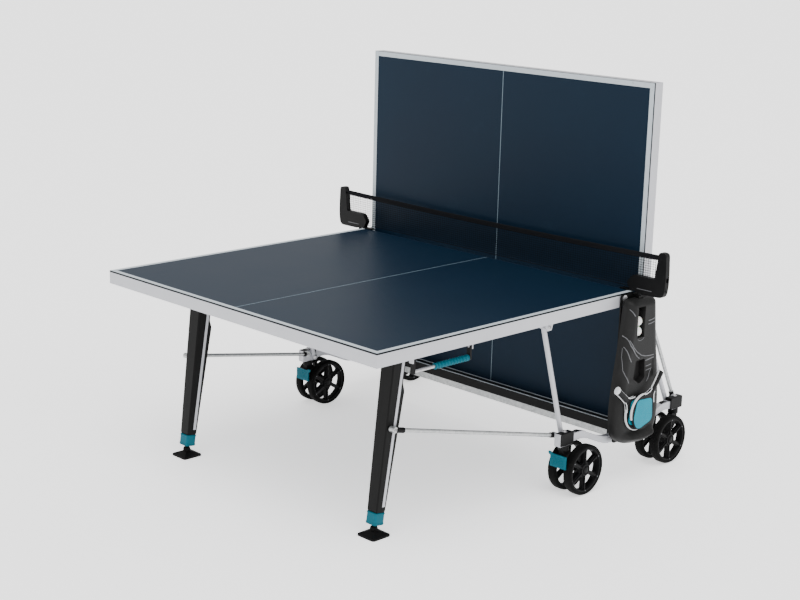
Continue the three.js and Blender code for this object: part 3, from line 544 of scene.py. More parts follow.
def carry(node, finish, soften=0.0, sharp=32):
    """A CAD node that stays: its finish, and its edges softened."""
    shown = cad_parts[node]
    for slot in shown.material_slots:
        slot.material = finish
    if soften:
        flat = shown.modifiers.new("joined flats", "DECIMATE")
        flat.decimate_type = "DISSOLVE"
        flat.angle_limit = math.radians(1)
        bevel(shown, soften, sharp, 2)


def smoothly(edge0, edge1, x):
    t = min(1.0, max(0.0, (x - edge0) / (edge1 - edge0)))
    return t * t * (3 - 2 * t)


# ---------------------------------------------------------------- halves
LINE_WIDTH = 20
CENTRE_LINE = 3
PAINT = 0.3


def half_pieces(end):
    body = f"half_{end}"
    carry(f"board_{end}", BOARD[end], 0.8)
    carry(f"frame_{end}", RAIL, 1.6)

    lines = Drawing(HALF[end])
    edge = HALF_WIDTH - 1.0
    stop = HALF_LENGTH - 1.0
    for side in SIDES:
        x0, x1 = sorted((side * (edge - LINE_WIDTH), side * edge))
        lines.box(x0, x1, 1, stop - LINE_WIDTH - 0.05, -PAINT, 0.2)
    lines.box(-edge, edge, stop - LINE_WIDTH, stop, -PAINT, 0.2)
    middle = Drawing(HALF[end])
    middle.box(-CENTRE_LINE / 2, CENTRE_LINE / 2, 1, stop - LINE_WIDTH - 0.05, -PAINT, 0.2)
    middle.made(f"centre_line_{end}", THIN_LINE, body, "white_plastic", 0.12, segments=1)
    lines.made(f"court_lines_{end}", LINE, body, "white_plastic", 0.12, segments=1)

    bolts = Drawing(HALF[end])
    for side in SIDES:
        bolts.bolt((side * 590, LEG_ALONG, LEG_DEPTH), "x", side, 9, 6)
        bolts.bolt((side * 743.5, 470.7, 68), "x", side, 6.5, 5)
        for along in (330, 700, 1065):
            for x in (24, 700):
                bolts.bolt((side * x, along, 28.3), "z", 1, 4, 3)
        for along in (60, 520, 880, 1240):
            bolts.bolt((side * 750, along, 52), "z", 1, 4, 2.5)
        for x in (120, 380, 640):
            bolts.bolt((side * x, HALF_LENGTH - 12, 52), "z", 1, 4, 2.5)
    bolts.made(f"frame_bolts_{end}", BRIGHT, body, "bright_steel", sharp=50)

    caps = Drawing(HALF[end])
    for side in SIDES:
        plug = rounded([(side * (HALF_WIDTH - 3), 9, 2), (side * (HALF_WIDTH - 22), 9, 2),
                        (side * (HALF_WIDTH - 22), 49, 2), (side * (HALF_WIDTH - 3), 49, 2)], 3)
        caps.plate([plug], -2.2, 0.5, "y")
    caps.made(f"rail_plugs_{end}", BLACK, body, "black_plastic", 0.8)


# ---------------------------------------------------------------- legs
LEG_PLACE = 550
LEG_TOP_HALF = 33
LEG_FOOT_HALF = 25
LEG_DOWN = 600.7
STRIP_WIDTH = 13


def leg_pieces(end, side):
    tag = tag_of(end, side)
    carry(f"leg_{tag}", LEG)
    carry(f"foot_collar_{tag}", TEAL, 2.2)
    carry(f"foot_pad_{tag}", FOOT, 1.5)
    carry(f"slide_block_{tag}", BRIGHT, 0.6)

    strips = Drawing(LEGS[end])
    for face in SIDES:
        rows = []
        for k in range(13):
            down = 12 + k * (LEG_DOWN - 34) / 12
            t = down / LEG_DOWN
            half = LEG_TOP_HALF + (LEG_FOOT_HALF - LEG_TOP_HALF) * t
            middle = 11 - 3 * t
            low, high = middle - STRIP_WIDTH / 2, middle + STRIP_WIDTH / 2
            inner = side * LEG_PLACE + face * (half - 1.5)
            crown = side * LEG_PLACE + face * (half + 1.2)
            outer = side * LEG_PLACE + face * (half + 1.9)
            rows.append([
                (inner, low, -down), (crown, low + 0.6, -down), (outer, low + 3, -down),
                (outer - face * 0.9, middle, -down), (outer, high - 3, -down),
                (crown, high - 0.6, -down), (inner, high, -down),
            ])
        strips.rings(rows)
    strips.made(f"leg_strip_{tag}", RAIL, f"legs_{end}", "bright_steel", sharp=30)

    band = Drawing(LEGS[end])
    d = 24.2
    w = 26.2
    for low, high in ((LEG_DOWN + 2, LEG_DOWN + 6), (LEG_DOWN + 38, LEG_DOWN + 42)):
        corners = ((-1, -1), (1, -1), (1, 1), (-1, 1))
        place = side * LEG_PLACE
        outer = rounded([(place + a * w, b * d, 9) for a, b in corners], 5)
        inner = rounded([(place + a * (w - 4), b * (d - 4), 7) for a, b in corners], 5)
        band.plate([outer, inner], -high, -low, "z")
    band.made(f"collar_rims_{tag}", TEAL, f"legs_{end}", "teal_plastic", 0.7)


# ---------------------------------------------------------------- links
def link_pieces(end, side):
    tag = tag_of(end, side)
    world = 1 if tag.endswith("right") else -1
    carry(f"strut_{tag}", RAIL, 0.6)
    carry(f"tie_rod_{tag}", ZINC, 0.6)

    def ends(node, eye, boss, low_x, high_x):
        low, high = (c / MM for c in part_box(node))
        y_base = high.y - eye
        y_top = low.y + boss
        return (
            Vector((world * low_x, y_base - NET_LINE, low.z + eye)),
            Vector((world * high_x, y_top - NET_LINE, high.z - boss)),
        )

    base, top = ends(f"tie_rod_{tag}", 12, 11, 714, 600)
    sleeves = Drawing()
    for start, length, point, other in ((9, 16, base, top), (9, 34, top, base)):
        along = (other - point).normalized()
        rows = [point + along * (start + length * k / 8) for k in range(9)]
        sleeves.swept(rows, circle(10.4, 18), up=(1, 0, 0))
    sleeves.made(f"tie_sleeves_{tag}", BLACK, f"ties_{end}", "black_plastic", 1.2)

    bolts = Drawing()
    bolts.bolt((base.x - world * 10, base.y, base.z), "x", -world, 4.6, 4)
    bolts.bolt((top.x + world * 8, top.y, top.z), "x", world, 4.6, 4)
    bolts.made(f"tie_bolts_{tag}", BRIGHT, f"ties_{end}", "bright_steel", sharp=50)

    base, top = ends(f"strut_{tag}", 13, 13, 714, 714)
    bolts = Drawing()
    bolts.bolt((base.x - world * 10, base.y, base.z), "x", -world, 7.5, 5)
    bolts.bolt((top.x - world * 10, top.y, top.z), "x", -world, 7.5, 5)
    bolts.made(f"strut_bolts_{tag}", BRIGHT, f"struts_{end}", "bright_steel", sharp=50)


# ---------------------------------------------------------------- carrying handles
HANDLE_PLACE = 740
HANDLE_PIN = 64
HANDLE_ROD = 104
HANDLE_FROM = 893
HANDLE_TO = 1178


def handle_pieces(end, side):
    tag = tag_of(end, side)
    body = f"handle_{tag}"
    place = side * HANDLE_PLACE

    arms = Drawing(HALF[end])
    for low in (HANDLE_FROM, HANDLE_TO - 8):
        outline = rounded([
            (place - 9, HANDLE_PIN - 8.5, 8), (place + 9, HANDLE_PIN - 8.5, 8),
            (place + 8, HANDLE_PIN + 20, 12), (place + 9.5, HANDLE_ROD + 9, 8),
            (place - 9.5, HANDLE_ROD + 9, 8), (place - 8, HANDLE_PIN + 20, 12),
        ], 5)
        pin = circle(4.5, 20, (place, HANDLE_PIN))
        arms.plate([outline, pin], low, low + 8, "y")
    arms.made(f"handle_arms_{tag}", BLACK, body, "black_plastic", 1.0)

    rod = Drawing(HALF[end])
    rod.turned([(0, HANDLE_FROM + 1), (6, HANDLE_FROM + 1), (6, HANDLE_TO - 1), (0, HANDLE_TO - 1)],
               (place, 0, HANDLE_ROD), "y", 24)
    piece = rod.made(f"handle_rod_{tag}", BRIGHT, body, "bright_steel", 0.5)
    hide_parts(f"handle_{tag}")

    grip = Drawing(HALF[end])
    first, last = HANDLE_FROM + 11, HANDLE_FROM + 177
    pitch = 15.0
    profile = [(6.2, first), (10.4, first), (11.6, first + 1.2), (11.6, first + 3.4)]
    turns = int((last - first - 10) / pitch)
    for k in range(turns):
        start = first + 4 + k * pitch
        for j in range(8):
            angle = math.pi * j / 7
            bulge = max(0.0, math.sin(angle)) ** 0.6
            profile.append((6.9 + 5.0 * bulge, start + 2.4 + (pitch - 4.8) * j / 7))
    profile += [(11.6, last - 3.4), (11.6, last - 1.2), (10.4, last), (6.2, last)]
    grip.turned(profile, (place, 0, HANDLE_ROD), "y", 36, closed=True)
    grip.made(f"handle_grip_{tag}", TEAL, body, "teal_plastic", sharp=60)


# ---------------------------------------------------------------- chassis
ARCH_PLACE = 739
SOCKET_TOP = 256
SWIVEL = 351


def chassis_pieces(side):
    tag = "right" if side > 0 else "left"
    carry(f"chassis_arch_{tag}", RAIL, 1.6)
    carry(f"side_upright_{tag}", LEG, 0.8)
    carry(f"net_post_{tag}", BLACK, 1.6)

    brackets = Drawing()
    low = spot(f"chassis_arch_{tag}", 0, "y") - NET_LINE
    for end in SIDES:
        y0, y1 = sorted((end * (low + 0.2), end * (low + 78)))
        outline = rounded([(y0, 208, 6), (y1, 208, 6), (y1, 257.5, 8), (y0, 257.5, 8)], 4)
        x0, x1 = sorted((side * 726, side * 756))
        brackets.plate([outline], x0, x1, "x")
    brackets.made(f"arch_brackets_{tag}", BLACK, "chassis", "black_plastic", 2.0)

    # A thin black strip along the top of each arch tube: painted shade and painted dark reflection on the
    # tube's top face.
    strip = Drawing()
    path = []
    for y, z in (
        (-290, 245.8), (-280, 247.3), (-268, 247), (-252, 239), (-152, 200), (-128, 190.5), (-112, 187.2),
    ):
        path.append((side * ARCH_PLACE, y, z + 0.8))
    section = rounded([(-9, -1, 0.6), (9, -1, 0.6), (9, 1, 0.6), (-9, 1, 0.6)], 2)
    strip.swept(path, section)
    strip.swept([(x, -y, z) for x, y, z in path], section)
    strip.made(f"arch_shade_strips_{tag}", BLACK, "chassis", "black_plastic")

    bolts = Drawing()
    for end in SIDES:
        bolts.bolt((side * ARCH_PLACE, end * SWIVEL, SOCKET_TOP + 3.2), "z", 1, 8, 6)
    for y, z in ((-75, 300), (75, 300), (-75, 700), (75, 700)):
        bolts.bolt((side * 771, y * 0.62, z), "x", side, 5, 4)
    bolts.made(f"chassis_bolts_{tag}", BRIGHT, "chassis", "bright_steel", sharp=50)


def beam_pieces():
    carry("crossbeam", ZINC, 2.5)
    carry("crossbeam_cover", BLACK, 2.2)
    # Thin pale strips along both top edges of the beam: a painted highlight where those edges catch the light.
    edge_highlight = Drawing()
    for side in SIDES:
        y0, y1 = sorted((side * 20.6, side * 15.5))
        edge_highlight.box(-718, 718, y0, y1, 218.9, 221.2)
    edge_highlight.made("beam_edge_highlight", LINE, "chassis", "grey_rail", 0.8)
    plugs = Drawing()
    for side in SIDES:
        plugs.plate([rounded([(-23, 151, 5), (23, 151, 5), (23, 184, 5), (-23, 184, 5)], 4)],
                    *sorted((side * 690, side * 726)), "x")
    plugs.made("beam_sockets", BLACK, "chassis", "black_plastic", 1.5)


# ---------------------------------------------------------------- casters
WHEEL_OFFSET = 38.5
WINDOWS = 6


def window(index):
    middle = 2 * math.pi * index / WINDOWS
    outer, inner = 79.0, 31.0
    spread_out = math.pi / WINDOWS - 8.5 / outer
    spread_in = math.pi / WINDOWS - 7.5 / inner
    def at(radius, angle):
        return (radius * math.cos(middle + angle), radius * math.sin(middle + angle))
    corners = [(*at(outer, -spread_out), 9), (*at(outer * 1.012, -spread_out * 0.4), 14),
               (*at(outer * 1.012, spread_out * 0.4), 14), (*at(outer, spread_out), 9),
               (*at(inner, spread_in), 5), (*at(inner, -spread_in), 5)]
    return rounded(corners, 4)


def wheel_pieces(end, side):
    tag = f"{end}_{'right' if side > 0 else 'left'}"
    node = f"twin_wheel_{tag}"
    low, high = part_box(node)
    middle = (low + high) / 2
    place = Matrix.Translation(middle) @ Matrix.Scale(MM, 4)
    body = f"wheels_{tag}"

    tyre = Drawing(place)
    disc = Drawing(place)
    hub = Drawing(place)
    rivets = Drawing(place)
    for way in SIDES:
        at = way * WHEEL_OFFSET
        section = [(86, -17.2), (89, -18.6), (94, -18.9), (97.6, -16.8), (99.6, -12.5), (100, -6), (100, 6),
                   (99.6, 12.5), (97.6, 16.8), (94, 18.9), (89, 18.6), (86, 17.2), (86, 0)]
        tyre.turned([(r, at + a) for r, a in section], steps=84, closed=True)
        rim = [(80, -14), (81.5, -16.6), (85, -16.6), (86.3, -14), (86.3, 14), (85, 16.6), (81.5, 16.6),
               (80, 14)]
        disc.turned([(r, at + a) for r, a in rim], steps=84, closed=True)
        loops = [circle(81, 84)] + [window(i) for i in range(WINDOWS)]
        disc.plate(loops, at - 8, at + 8, "x")
        for i in range(WINDOWS):
            angle = math.pi * (2 * i + 1) / WINDOWS
            rib = rounded([(24, -2.2, 1), (81, -3.4, 1), (81, 3.4, 1), (24, 2.2, 1)], 2)
            turn = Matrix.Rotation(angle, 4, "X")
            spoke = Drawing(place @ turn)
            spoke.plate([rib], at - 13, at + 13, "x")
            scrap = bpy.data.meshes.new("rib")
            spoke.mesh.to_mesh(scrap)
            spoke.mesh.free()
            disc.mesh.from_mesh(scrap)
            bpy.data.meshes.remove(scrap)
            y, z = 84 * math.cos(angle), 84 * math.sin(angle)
            rivet = [(0, at + way * 16), (2.6, at + way * 16), (2.4, at + way * 17.6), (0, at + way * 18)]
            rivets.turned(rivet, (0, y * 0.985, z * 0.985), "x", 12)
        face = at + way * 15
        hub.turned([(0, at - way * 19), (23, at - way * 19), (24, at - way * 17), (24, at + way * 12),
                    (22.5, at + way * 15), (19, face), (18, face - way * 2.5), (13, face - way * 2.5),
                    (12.4, face + way * 0.6), (9, face + way * 2.2), (0, face + way * 2.4)], steps=48)
        for k in range(16):
            angle = 2 * math.pi * k / 16
            y, z = 15.6 * math.cos(angle), 15.6 * math.sin(angle)
            hub.turned([(0, face - way * 3), (1.7, face - way * 3), (1.5, face - way * 0.4), (0, face)],
                       (0, y, z), "x", 8)
    hub.turned([(7, -WHEEL_OFFSET), (7, WHEEL_OFFSET)], steps=20)
    shown = disc.made(f"wheel_discs_{tag}", BLACK, body, "black_plastic", 0.9, 40, 2)
    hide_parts(node)
    tyre.made(f"wheel_tyres_{tag}", TYRE, body, "black_tyre", sharp=50)
    hub.made(f"wheel_hubs_{tag}", BLACK, body, "black_plastic", 0.5, 40, 2)
    rivets.made(f"wheel_rivets_{tag}", ACCENT, body, "grey_rail", sharp=50)

    carry(f"caster_fork_{tag}", BLACK, 1.6)
    bolts = Drawing(place)
    for way in SIDES:
        bolts.bolt((way * 11.5, 0, 0), "x", way, 9, 4)
    bolts.made(f"fork_bolts_{tag}", BRIGHT, f"caster_{tag}", "bright_steel", sharp=50)


def pedal_pieces(side):
    tag = f"front_{'right' if side > 0 else 'left'}"
    node = f"brake_pedal_{tag}"
    carry(node, TEAL, 6.0)
    low, high = (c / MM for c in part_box(node))
    middle = (low.x + high.x) / 2
    face = low.y - NET_LINE
    tread = Drawing()
    for k in range(5):
        z = low.z + 10 + k * 7.5
        outline = rounded([
            (middle - 27, z, 1), (middle + 27, z, 1), (middle + 27, z + 2.4, 1), (middle - 27, z + 2.4, 1),
        ], 2)
        tread.plate([outline], face - 1.2, face + 1, "y")
    tread.made(f"pedal_tread_{tag}", TEAL, f"brake_{tag}", "teal_plastic", 0.5)
    tab = Drawing()
    inner = middle - side * 38
    outline = rounded([
        (inner + side * 8, high.z - 12, 3), (inner - side * 9, high.z - 6, 4),
        (inner - side * 12, high.z + 7, 5), (inner + side * 2, high.z + 6, 5),
        (inner + side * 14, high.z - 1, 3),
    ], 4)
    tab.plate([outline if side > 0 else outline[::-1]], face + 0.4, face + 6.4, "y")
    tab.made(f"pedal_tab_{tag}", TEAL, f"brake_{tag}", "teal_plastic", 1.6)


# ---------------------------------------------------------------- side covers
COVER_BACK = 776
COVER_FRONT = 826
COVER_ROUND = 34
LEDGE = 31
COVER_HALF = [
    (0, 150, 30), (78, 164, 45), (128, 205, 50), (138, 300, 60), (122, 440, 80), (100, 560, 60),
    (86, 690, 30), (80, 740, 30),
]
PANEL = [
    (-106, 604), (-62, 548), (-18, 508), (14, 501), (72, 497), (70, 424), (-79, 424), (-116, 462), (-109, 560),
]


def cover_edge():
    other = [(-y, z, r) for y, z, r in COVER_HALF[1:]][::-1]
    return rounded(COVER_HALF + other, 8)


COVER_EDGE = cover_edge()


def from_outline(outline, y, z):
    """How far a point is inside an outline; less than nothing outside it."""
    nearest = 1e9
    inside = False
    for i, (a, b) in enumerate(outline):
        c, d = outline[i - 1]
        ey, ez = c - a, d - b
        t = min(1.0, max(0.0, ((y - a) * ey + (z - b) * ez) / (ey * ey + ez * ez + 1e-12)))
        nearest = min(nearest, math.hypot(y - a - t * ey, z - b - t * ez))
        if (b > z) != (d > z) and y < (c - a) * (z - b) / (d - b) + a:
            inside = not inside
    return nearest if inside else -nearest


def cover_level(y, z):
    """How far out the cover's face stands at a place on it."""
    inward = max(0.0, from_outline(COVER_EDGE, y, z))
    drop = COVER_ROUND - min(inward, COVER_ROUND)
    level = COVER_FRONT - COVER_ROUND + math.sqrt(max(0.0, COVER_ROUND**2 - drop**2))
    level -= 2.6 * smoothly(0, 4, from_outline(PANEL, y, z))
    pocket = smoothly(222, 190, z) * smoothly(112, 62, abs(y)) * smoothly(2, 34, inward)
    return level + LEDGE * pocket


def cut_out(piece, tool):
    """Takes a drawn tool away from a piece, for good."""
    bmesh.ops.recalc_face_normals(tool.mesh, faces=tool.mesh.faces)
    data = bpy.data.meshes.new("tool")
    tool.mesh.to_mesh(data)
    tool.mesh.free()
    cutter = bpy.data.objects.new("tool", data)
    bpy.context.scene.collection.objects.link(cutter)
    modifier = piece.modifiers.new("cut", "BOOLEAN")
    modifier.operation = "DIFFERENCE"
    modifier.solver = "EXACT"
    modifier.object = cutter
    bpy.context.view_layer.update()
    result = bpy.data.meshes.new_from_object(piece.evaluated_get(bpy.context.evaluated_depsgraph_get()))
    piece.modifiers.clear()
    piece.data = result
    bpy.data.objects.remove(cutter)


def half_width_at(z):
    crossings = [0.0]
    for i, (a, b) in enumerate(COVER_EDGE):
        c, d = COVER_EDGE[i - 1]
        if (b > z) != (d > z):
            crossings.append(a + (c - a) * (z - b) / (d - b))
    return max(crossings)


def cover_pieces(side):
    tag = "right" if side > 0 else "left"
    shell = Drawing()
    rows = 150
    columns = 66
    grid = []
    for i in range(rows + 1):
        z = 445 - 294.6 * math.cos(math.pi * i / rows)
        wide = half_width_at(z)
        row = []
        for k in range(columns + 1):
            y = wide * math.sin(math.pi * (k / columns - 0.5))
            row.append(shell.point(side * cover_level(y, z), y, z))
        grid.append(row)
    for one, two in zip(grid, grid[1:]):
        for k in range(columns):
            shell.mesh.faces.new((one[k], one[k + 1], two[k + 1], two[k]))
    rim = grid[0][:] + [r[-1] for r in grid[1:-1]] + grid[-1][::-1] + [r[0] for r in grid[-2:0:-1]]
    inverse = NET.inverted()
    back = []
    for vertex in rim:
        _, y, z = inverse @ vertex.co
        back.append(shell.point(side * COVER_BACK, y, z))
    for i in range(len(rim)):
        shell.mesh.faces.new((rim[i - 1], rim[i], back[i], back[i - 1]))
    shell.mesh.faces.new(back)
    piece = shell.made(f"cover_shell_{tag}", SHELL, "chassis", "black_plastic", sharp=42)

    channel = Drawing()
    channel.turned([(0, 590), (21.9, 590), (22, 592), (22, 712), (0, 712)], (side * 804, -24, 0), "z", 48)
    cut_out(piece, channel)
    mouth = Drawing()
    mouth.box(*sorted((side * 804, side * 870)), -46, -2, 590, 712)
    cut_out(piece, mouth)
    recess = Drawing()
    outline = rounded([(-40, 498, 7), (15, 499, 7), (20, 424, 8), (-14, 402, 8), (-52, 428, 8)], 5)
    recess.plate([outline], *sorted((side * 797, side * 870)), "x")
    cut_out(piece, recess)
    way = Drawing()
    way.box(*sorted((side * 760, side * 801)), -16, 16, 690, 790)
    cut_out(piece, way)
    smooth(piece.data, 42)
    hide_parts(f"side_cover_{tag}")

    def line(points, width=2.2):
        path = []
        for (y0, z0), (y1, z1) in zip(points, points[1:]):
            steps = max(1, int(math.hypot(y1 - y0, z1 - z0) / 5))
            for k in range(steps):
                t = k / steps
                path.append((y0 + (y1 - y0) * t, z0 + (z1 - z0) * t))
        path.append(points[-1])
        section = rounded([(-width, -0.8, 0.5), (width, -0.8, 0.5), (width, 0.6, 0.6), (-width, 0.6, 0.6)], 2)
        accents.swept([(side * (cover_level(y, z) + 0.3), y, z) for y, z in path], section, up=(side, 0, 0))

    accents = Drawing()
    line([(-80, 708), (-72, 696), (-63, 681)])
    line([(-96, 604), (-88, 590), (-78, 566), (-58, 542), (-38, 520), (-20, 506)], 2.6)
    line([(-84, 588), (-62, 556), (-38, 534), (-10, 517), (16, 510), (44, 507), (68, 507)], 1.7)
    line([(-98, 562), (-90, 544), (-80, 516), (-70, 500)], 2.2)
    line([(-100, 556), (-105, 520), (-107, 470), (-98, 446), (-82, 418)], 1.8)
    line([(20, 490), (44, 492), (70, 496)], 2.4)
    for z, start in ((466, 24), (449, 26)):
        line([(start, z), (start + 34, z + 3)], 1.6)
    line([(32, 404), (48, 430), (60, 455)], 1.5)
    for z in (652, 638):
        line([(20, z - 1), (40, z), (60, z + 4)], 1.8)
    line([(-42, 586), (-32, 580), (-20, 579), (-8, 583), (-2, 588)], 1.0)
    accents.made(f"cover_accents_{tag}", ACCENT, "chassis", "grey_rail", sharp=50)


# ---------------------------------------------------------------- net
TAPE_TOP = SURFACE + 152.5
NET_LOW = SURFACE + 17
NET_REACH = 857
THREAD = 0.8
CELL = 11.5


def sag(x):
    return 8 * (x / 877) ** 2


def net_pieces():
    mesh = Drawing()

    def ribbon(points, across):
        rows = []
        for p in points:
            rows.append([
                mesh.point(*(c - d for c, d in zip(p, across))),
                mesh.point(*(c + d for c, d in zip(p, across))),
            ])
        for one, two in zip(rows, rows[1:]):
            mesh.mesh.faces.new((one[0], one[1], two[1], two[0]))

    top = TAPE_TOP - 13
    columns = int(2 * NET_REACH / CELL)
    levels = 14
    for i in range(columns + 1):
        x = -NET_REACH + 2 * NET_REACH * i / columns
        points = []
        for k in range(levels + 1):
            wave = 0.45 if (i + k) % 2 else -0.45
            points.append((x, wave, NET_LOW + (top + sag(x) - NET_LOW) * k / levels))
        ribbon(points, (THREAD, 0, 0))
    for k in range(levels + 1):
        points = []
        for i in range(columns + 1):
            x = -NET_REACH + 2 * NET_REACH * i / columns
            wave = -0.45 if (i + k) % 2 else 0.45
            points.append((x, wave, NET_LOW + (top + sag(x) - NET_LOW) * k / levels))
        ribbon(points, (0, 0, THREAD))
    net = mesh.made("net_lattice", NET_THREAD, "chassis", "net_fabric", sharp=180)
    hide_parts("net_mesh")

    tape = Drawing()
    rows = []
    reach = 867
    for i in range(141):
        x = -reach + 2 * reach * i / 140
        level = TAPE_TOP + sag(x) - 0.6
        flutter = 0.25 * math.sin(x * 0.11) + 0.15 * math.sin(x * 0.047 + 1)
        section = [(-1.4, -20), (-1.75, -12), (-1.7, -4), (-1.45, -1), (0, 0), (1.45, -1), (1.7, -4),
                   (1.75, -12), (1.4, -20), (0.9, -20.2), (0, -19.6), (-0.9, -20.2)]
        rows.append([(x, y + flutter, level + z) for y, z in section])
    tape.rings(rows)
    band = tape.made("net_top_tape", NET_TAPE, "chassis", "net_fabric", sharp=60)
    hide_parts("net_tape")

    stitches = Drawing()
    for face in SIDES:
        x = -reach + 6
        while x < reach - 6:
            flutter = 0.25 * math.sin(x * 0.11) + 0.15 * math.sin(x * 0.047 + 1)
            z = TAPE_TOP + sag(x) - 16.8
            y = face * 1.72 + flutter
            stitches.box(x, x + 3.4, y - 0.25, y + 0.25, z - 0.35, z + 0.35)
            x += 6.2
    seam = stitches.made("net_tape_seam", STITCH, "chassis", "net_fabric")

    hem = Drawing()
    hem.swept([(-NET_REACH + 2 * NET_REACH * i / 60, 0, NET_LOW - 0.5) for i in range(61)], circle(1.3, 8))
    for side in SIDES:
        height = top + sag(NET_REACH) - NET_LOW
        edge = [(side * NET_REACH, 0, NET_LOW + height * i / 12) for i in range(13)]
        hem.swept(edge, circle(1.2, 8), up=(0, 1, 0))
    cord = hem.made("net_hem_cord", NET_TAPE, "chassis", "net_fabric", sharp=60)
    # An open net: its flat area is that of the threads, each one's length times its width.
    heights = [top + sag(-NET_REACH + 2 * NET_REACH * i / columns) - NET_LOW for i in range(columns + 1)]
    thread_length = sum(heights) + (levels + 1) * 2 * NET_REACH
    thread_area = thread_length * 2 * THREAD * MM * MM

    carry("net_tension_lever", BLACK, 1.2)
    for side in SIDES:
        tag = "right" if side > 0 else "left"
        groove = Drawing()
        for face in SIDES:
            path = [(side * (784 + 14 * k), face * 12.1, 776) for k in range(6)]
            section = rounded([(-1.3, -0.5, 0.3), (1.3, -0.5, 0.3), (1.3, 0.5, 0.3), (-1.3, 0.5, 0.3)], 2)
            groove.swept(path, section, up=(0, 1, 0))
        groove.made(f"post_groove_{tag}", ACCENT, "chassis", "grey_rail", sharp=50)
        pad = Drawing()
        inner, outer = side * 700, side * 752
        outline = rounded([(inner, -11, 4), (outer, -11, 4), (outer, 11, 4), (inner, 11, 4)], 4)
        pad.plate([outline], SURFACE + 0.6, SURFACE + 3.2, "z")
        pad.made(f"post_pad_{tag}", FOOT, "chassis", "black_foot", 0.6)
        hooks = Drawing()
        for z in (812, 906):
            hook = [(side * 856, 0, z), (side * 862, 0, z), (side * 868, 0, z + 0.5), (side * 874, 0, z + 1)]
            hooks.swept(hook, circle(2.6, 12))
        hooks.made(f"net_hooks_{tag}", BLACK, "chassis", "black_plastic", 0.6)


# ---------------------------------------------------------------- bats and balls
BAT_HEIGHT = 294
BAT_CORE = 70.4
GUARD_IN, GUARD_OUT = 70.5, 74
GUARD_FROM, GUARD_STEP, GUARD_POINTS = 22, 4, 31  # degrees from the handle


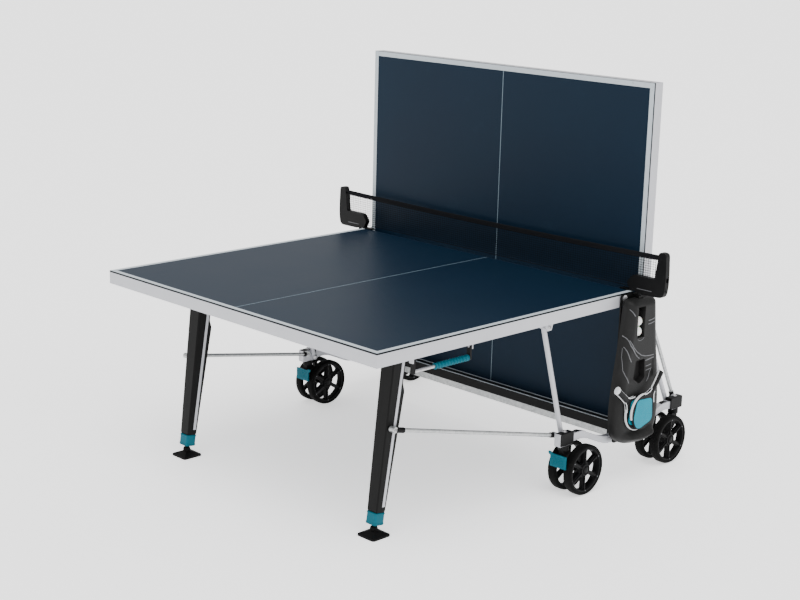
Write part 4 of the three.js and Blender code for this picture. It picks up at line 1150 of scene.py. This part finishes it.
def bat_pieces(name, place_x, place_y, angle):
    body = name
    place = NET @ Matrix.Translation((place_x, place_y, BAT_HEIGHT))
    place = place @ Matrix.Rotation(math.radians(angle), 4, "X")
    arc = [math.radians(GUARD_FROM + GUARD_STEP * k) for k in range(GUARD_POINTS)]
    edge = [(GUARD_OUT * math.cos(a), GUARD_OUT * math.sin(a)) for a in arc]
    edge += [(GUARD_IN * math.cos(a), GUARD_IN * math.sin(a)) for a in reversed(arc)]
    guard = Drawing(place)
    guard.plate([edge], -4.6, 4.6, "x")
    guard.made(f"{name}_guard", BAT_FRAME, body, "white_plastic", 1.4)

    core = Drawing(place)
    core.plate([circle(BAT_CORE, 72)], -3.2, 3.2, "x")
    neck = rounded([(48, -44, 8), (80, -17, 16), (100, -13, 10), (100, 13, 10), (80, 17, 16), (48, 44, 8)], 6)
    core.plate([neck], -4.6, 4.6, "x")
    shown = core.made(f"{name}_core", BLACK, body, "black_plastic", 1.0)
    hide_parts(name)

    rubber = Drawing(place)
    for low, high in ((-5.4, -3.2), (3.2, 5.4)):
        cut = rounded([(20, 66, 18), (-56, 36, 24), (-74, -13, 26), (1, -72, 22), (70, -12, 18)], 7)
        rubber.plate([cut], low, high, "x")
    rubber.made(f"{name}_rubber", BAT_FACE, body, "teal_rubber", 0.9)

    stripes = Drawing(place)
    for face in SIDES:
        for way in SIDES:
            points = [(60, way * 36), (72, way * 24), (84, way * 15), (98, way * 11)]
            path = [(face * 4.8, u, v) for u, v in points]
            section = rounded([(-2, -0.5, 0.3), (2, -0.5, 0.3), (2, 0.5, 0.3), (-2, 0.5, 0.3)], 2)
            stripes.swept(path, section, up=(1, 0, 0))
    stripes.made(f"{name}_stripes", BAT_FRAME, body, "white_plastic", sharp=50)

    handle = Drawing(place)
    rows = []
    for u, wide, thick in ((88, 12, 5.5), (94, 13.2, 8), (104, 13.4, 9.6), (130, 12.6, 10), (156, 13.2, 10.2),
                           (170, 14.6, 10.4), (176, 15.4, 10.2), (178.6, 13.6, 8.4)):
        rows.append([(thick * math.sin(t), u, wide * math.cos(t)) for t in
                     (2 * math.pi * k / 32 for k in range(32))])
    handle.rings(rows)
    handle.made(f"{name}_handle", BLACK, body, "black_plastic", sharp=50)

    bands = Drawing(place)
    for way in SIDES:
        rows = []
        for u, wide, thick in (
            (92, 13.3, 3.2), (104, 14.0, 3.6), (130, 13.2, 3.6), (156, 13.8, 3.6),
            (170, 15.1, 3.4), (176.5, 15.6, 3.0),
        ):
            lip = way * (wide - 2.6)
            rows.append([(-thick, u, lip), (-thick * 0.7, u, way * wide), (thick * 0.7, u, way * wide),
                         (thick, u, lip)])
        bands.rings(rows)
    if name == "bat_rear":
        cap = [[(thick * math.sin(t), u, wide * math.cos(t)) for t in (2 * math.pi * k / 32 for k in range(32))]
               for u, wide, thick in ((168, 15.2, 11), (176, 16.4, 11), (179.5, 14, 9))]
        bands.rings(cap)
    bands.made(f"{name}_handle_bands", BAT_FRAME, body, "white_plastic", 0.5, 30)


def ball_pieces(name):
    low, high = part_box(name)
    middle = (low + high) / 2
    ball = Drawing(Matrix.Translation(middle) @ Matrix.Rotation(0.5, 4, "Y") @ Matrix.Scale(MM, 4))
    profile = []
    for k in range(49):
        angle = math.pi * k / 48
        radius = 19.9 - (0.12 if k == 24 else 0)
        profile.append((radius * math.sin(angle), -radius * math.cos(angle)))
    ball.turned(profile, axis="z", steps=64)
    shown = ball.made(f"{name}_shell", BALL, name, "white_plastic", sharp=80)
    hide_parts(name)


# ---------------------------------------------------------------- making
for end in ENDS:
    half_pieces(end)
    for side in SIDES:
        leg_pieces(end, side)
        link_pieces(end, side)
        if end == "front":
            handle_pieces(end, side)
        wheel_pieces(end, side)
beam_pieces()
for side in SIDES:
    chassis_pieces(side)
    cover_pieces(side)
    pedal_pieces(side)
net_pieces()
bat_pieces("bat_rear", 834, -28, 140)
bat_pieces("bat_front", 849, -12, 54)
for name in ("ball_lower", "ball_upper"):
    ball_pieces(name)


# ---------------------------------------------------------------- studio
def soft_sun(name, toward, strength, spread):
    data = bpy.data.lights.new(name, "SUN")
    data.energy = strength
    data.angle = math.radians(spread)
    light = bpy.data.objects.new(name, data)
    light.rotation_euler = Vector(toward).to_track_quat("-Z", "Y").to_euler()
    bpy.context.scene.collection.objects.link(light)


def studio():
    data = bpy.data.meshes.new("floor")
    mesh = bmesh.new()
    bmesh.ops.create_grid(mesh, x_segments=12, y_segments=12, size=60)
    mesh.to_mesh(data)
    mesh.free()
    floor = bpy.data.objects.new("floor", data)
    data.materials.append(floor_finish("studio_floor"))
    bpy.context.scene.collection.objects.link(floor)
    world = bpy.data.worlds.new("studio")
    world.use_nodes = True
    background = world.node_tree.nodes["Background"]
    background.inputs["Color"].default_value = (1, 1, 1, 1)
    background.inputs["Strength"].default_value = 1.05
    bpy.context.scene.world = world
    soft_sun("overhead", (-0.25, 0.35, -1), 2.0, 50)
    soft_sun("side", (-1, 0.15, -0.55), 0.7, 40)


studio()
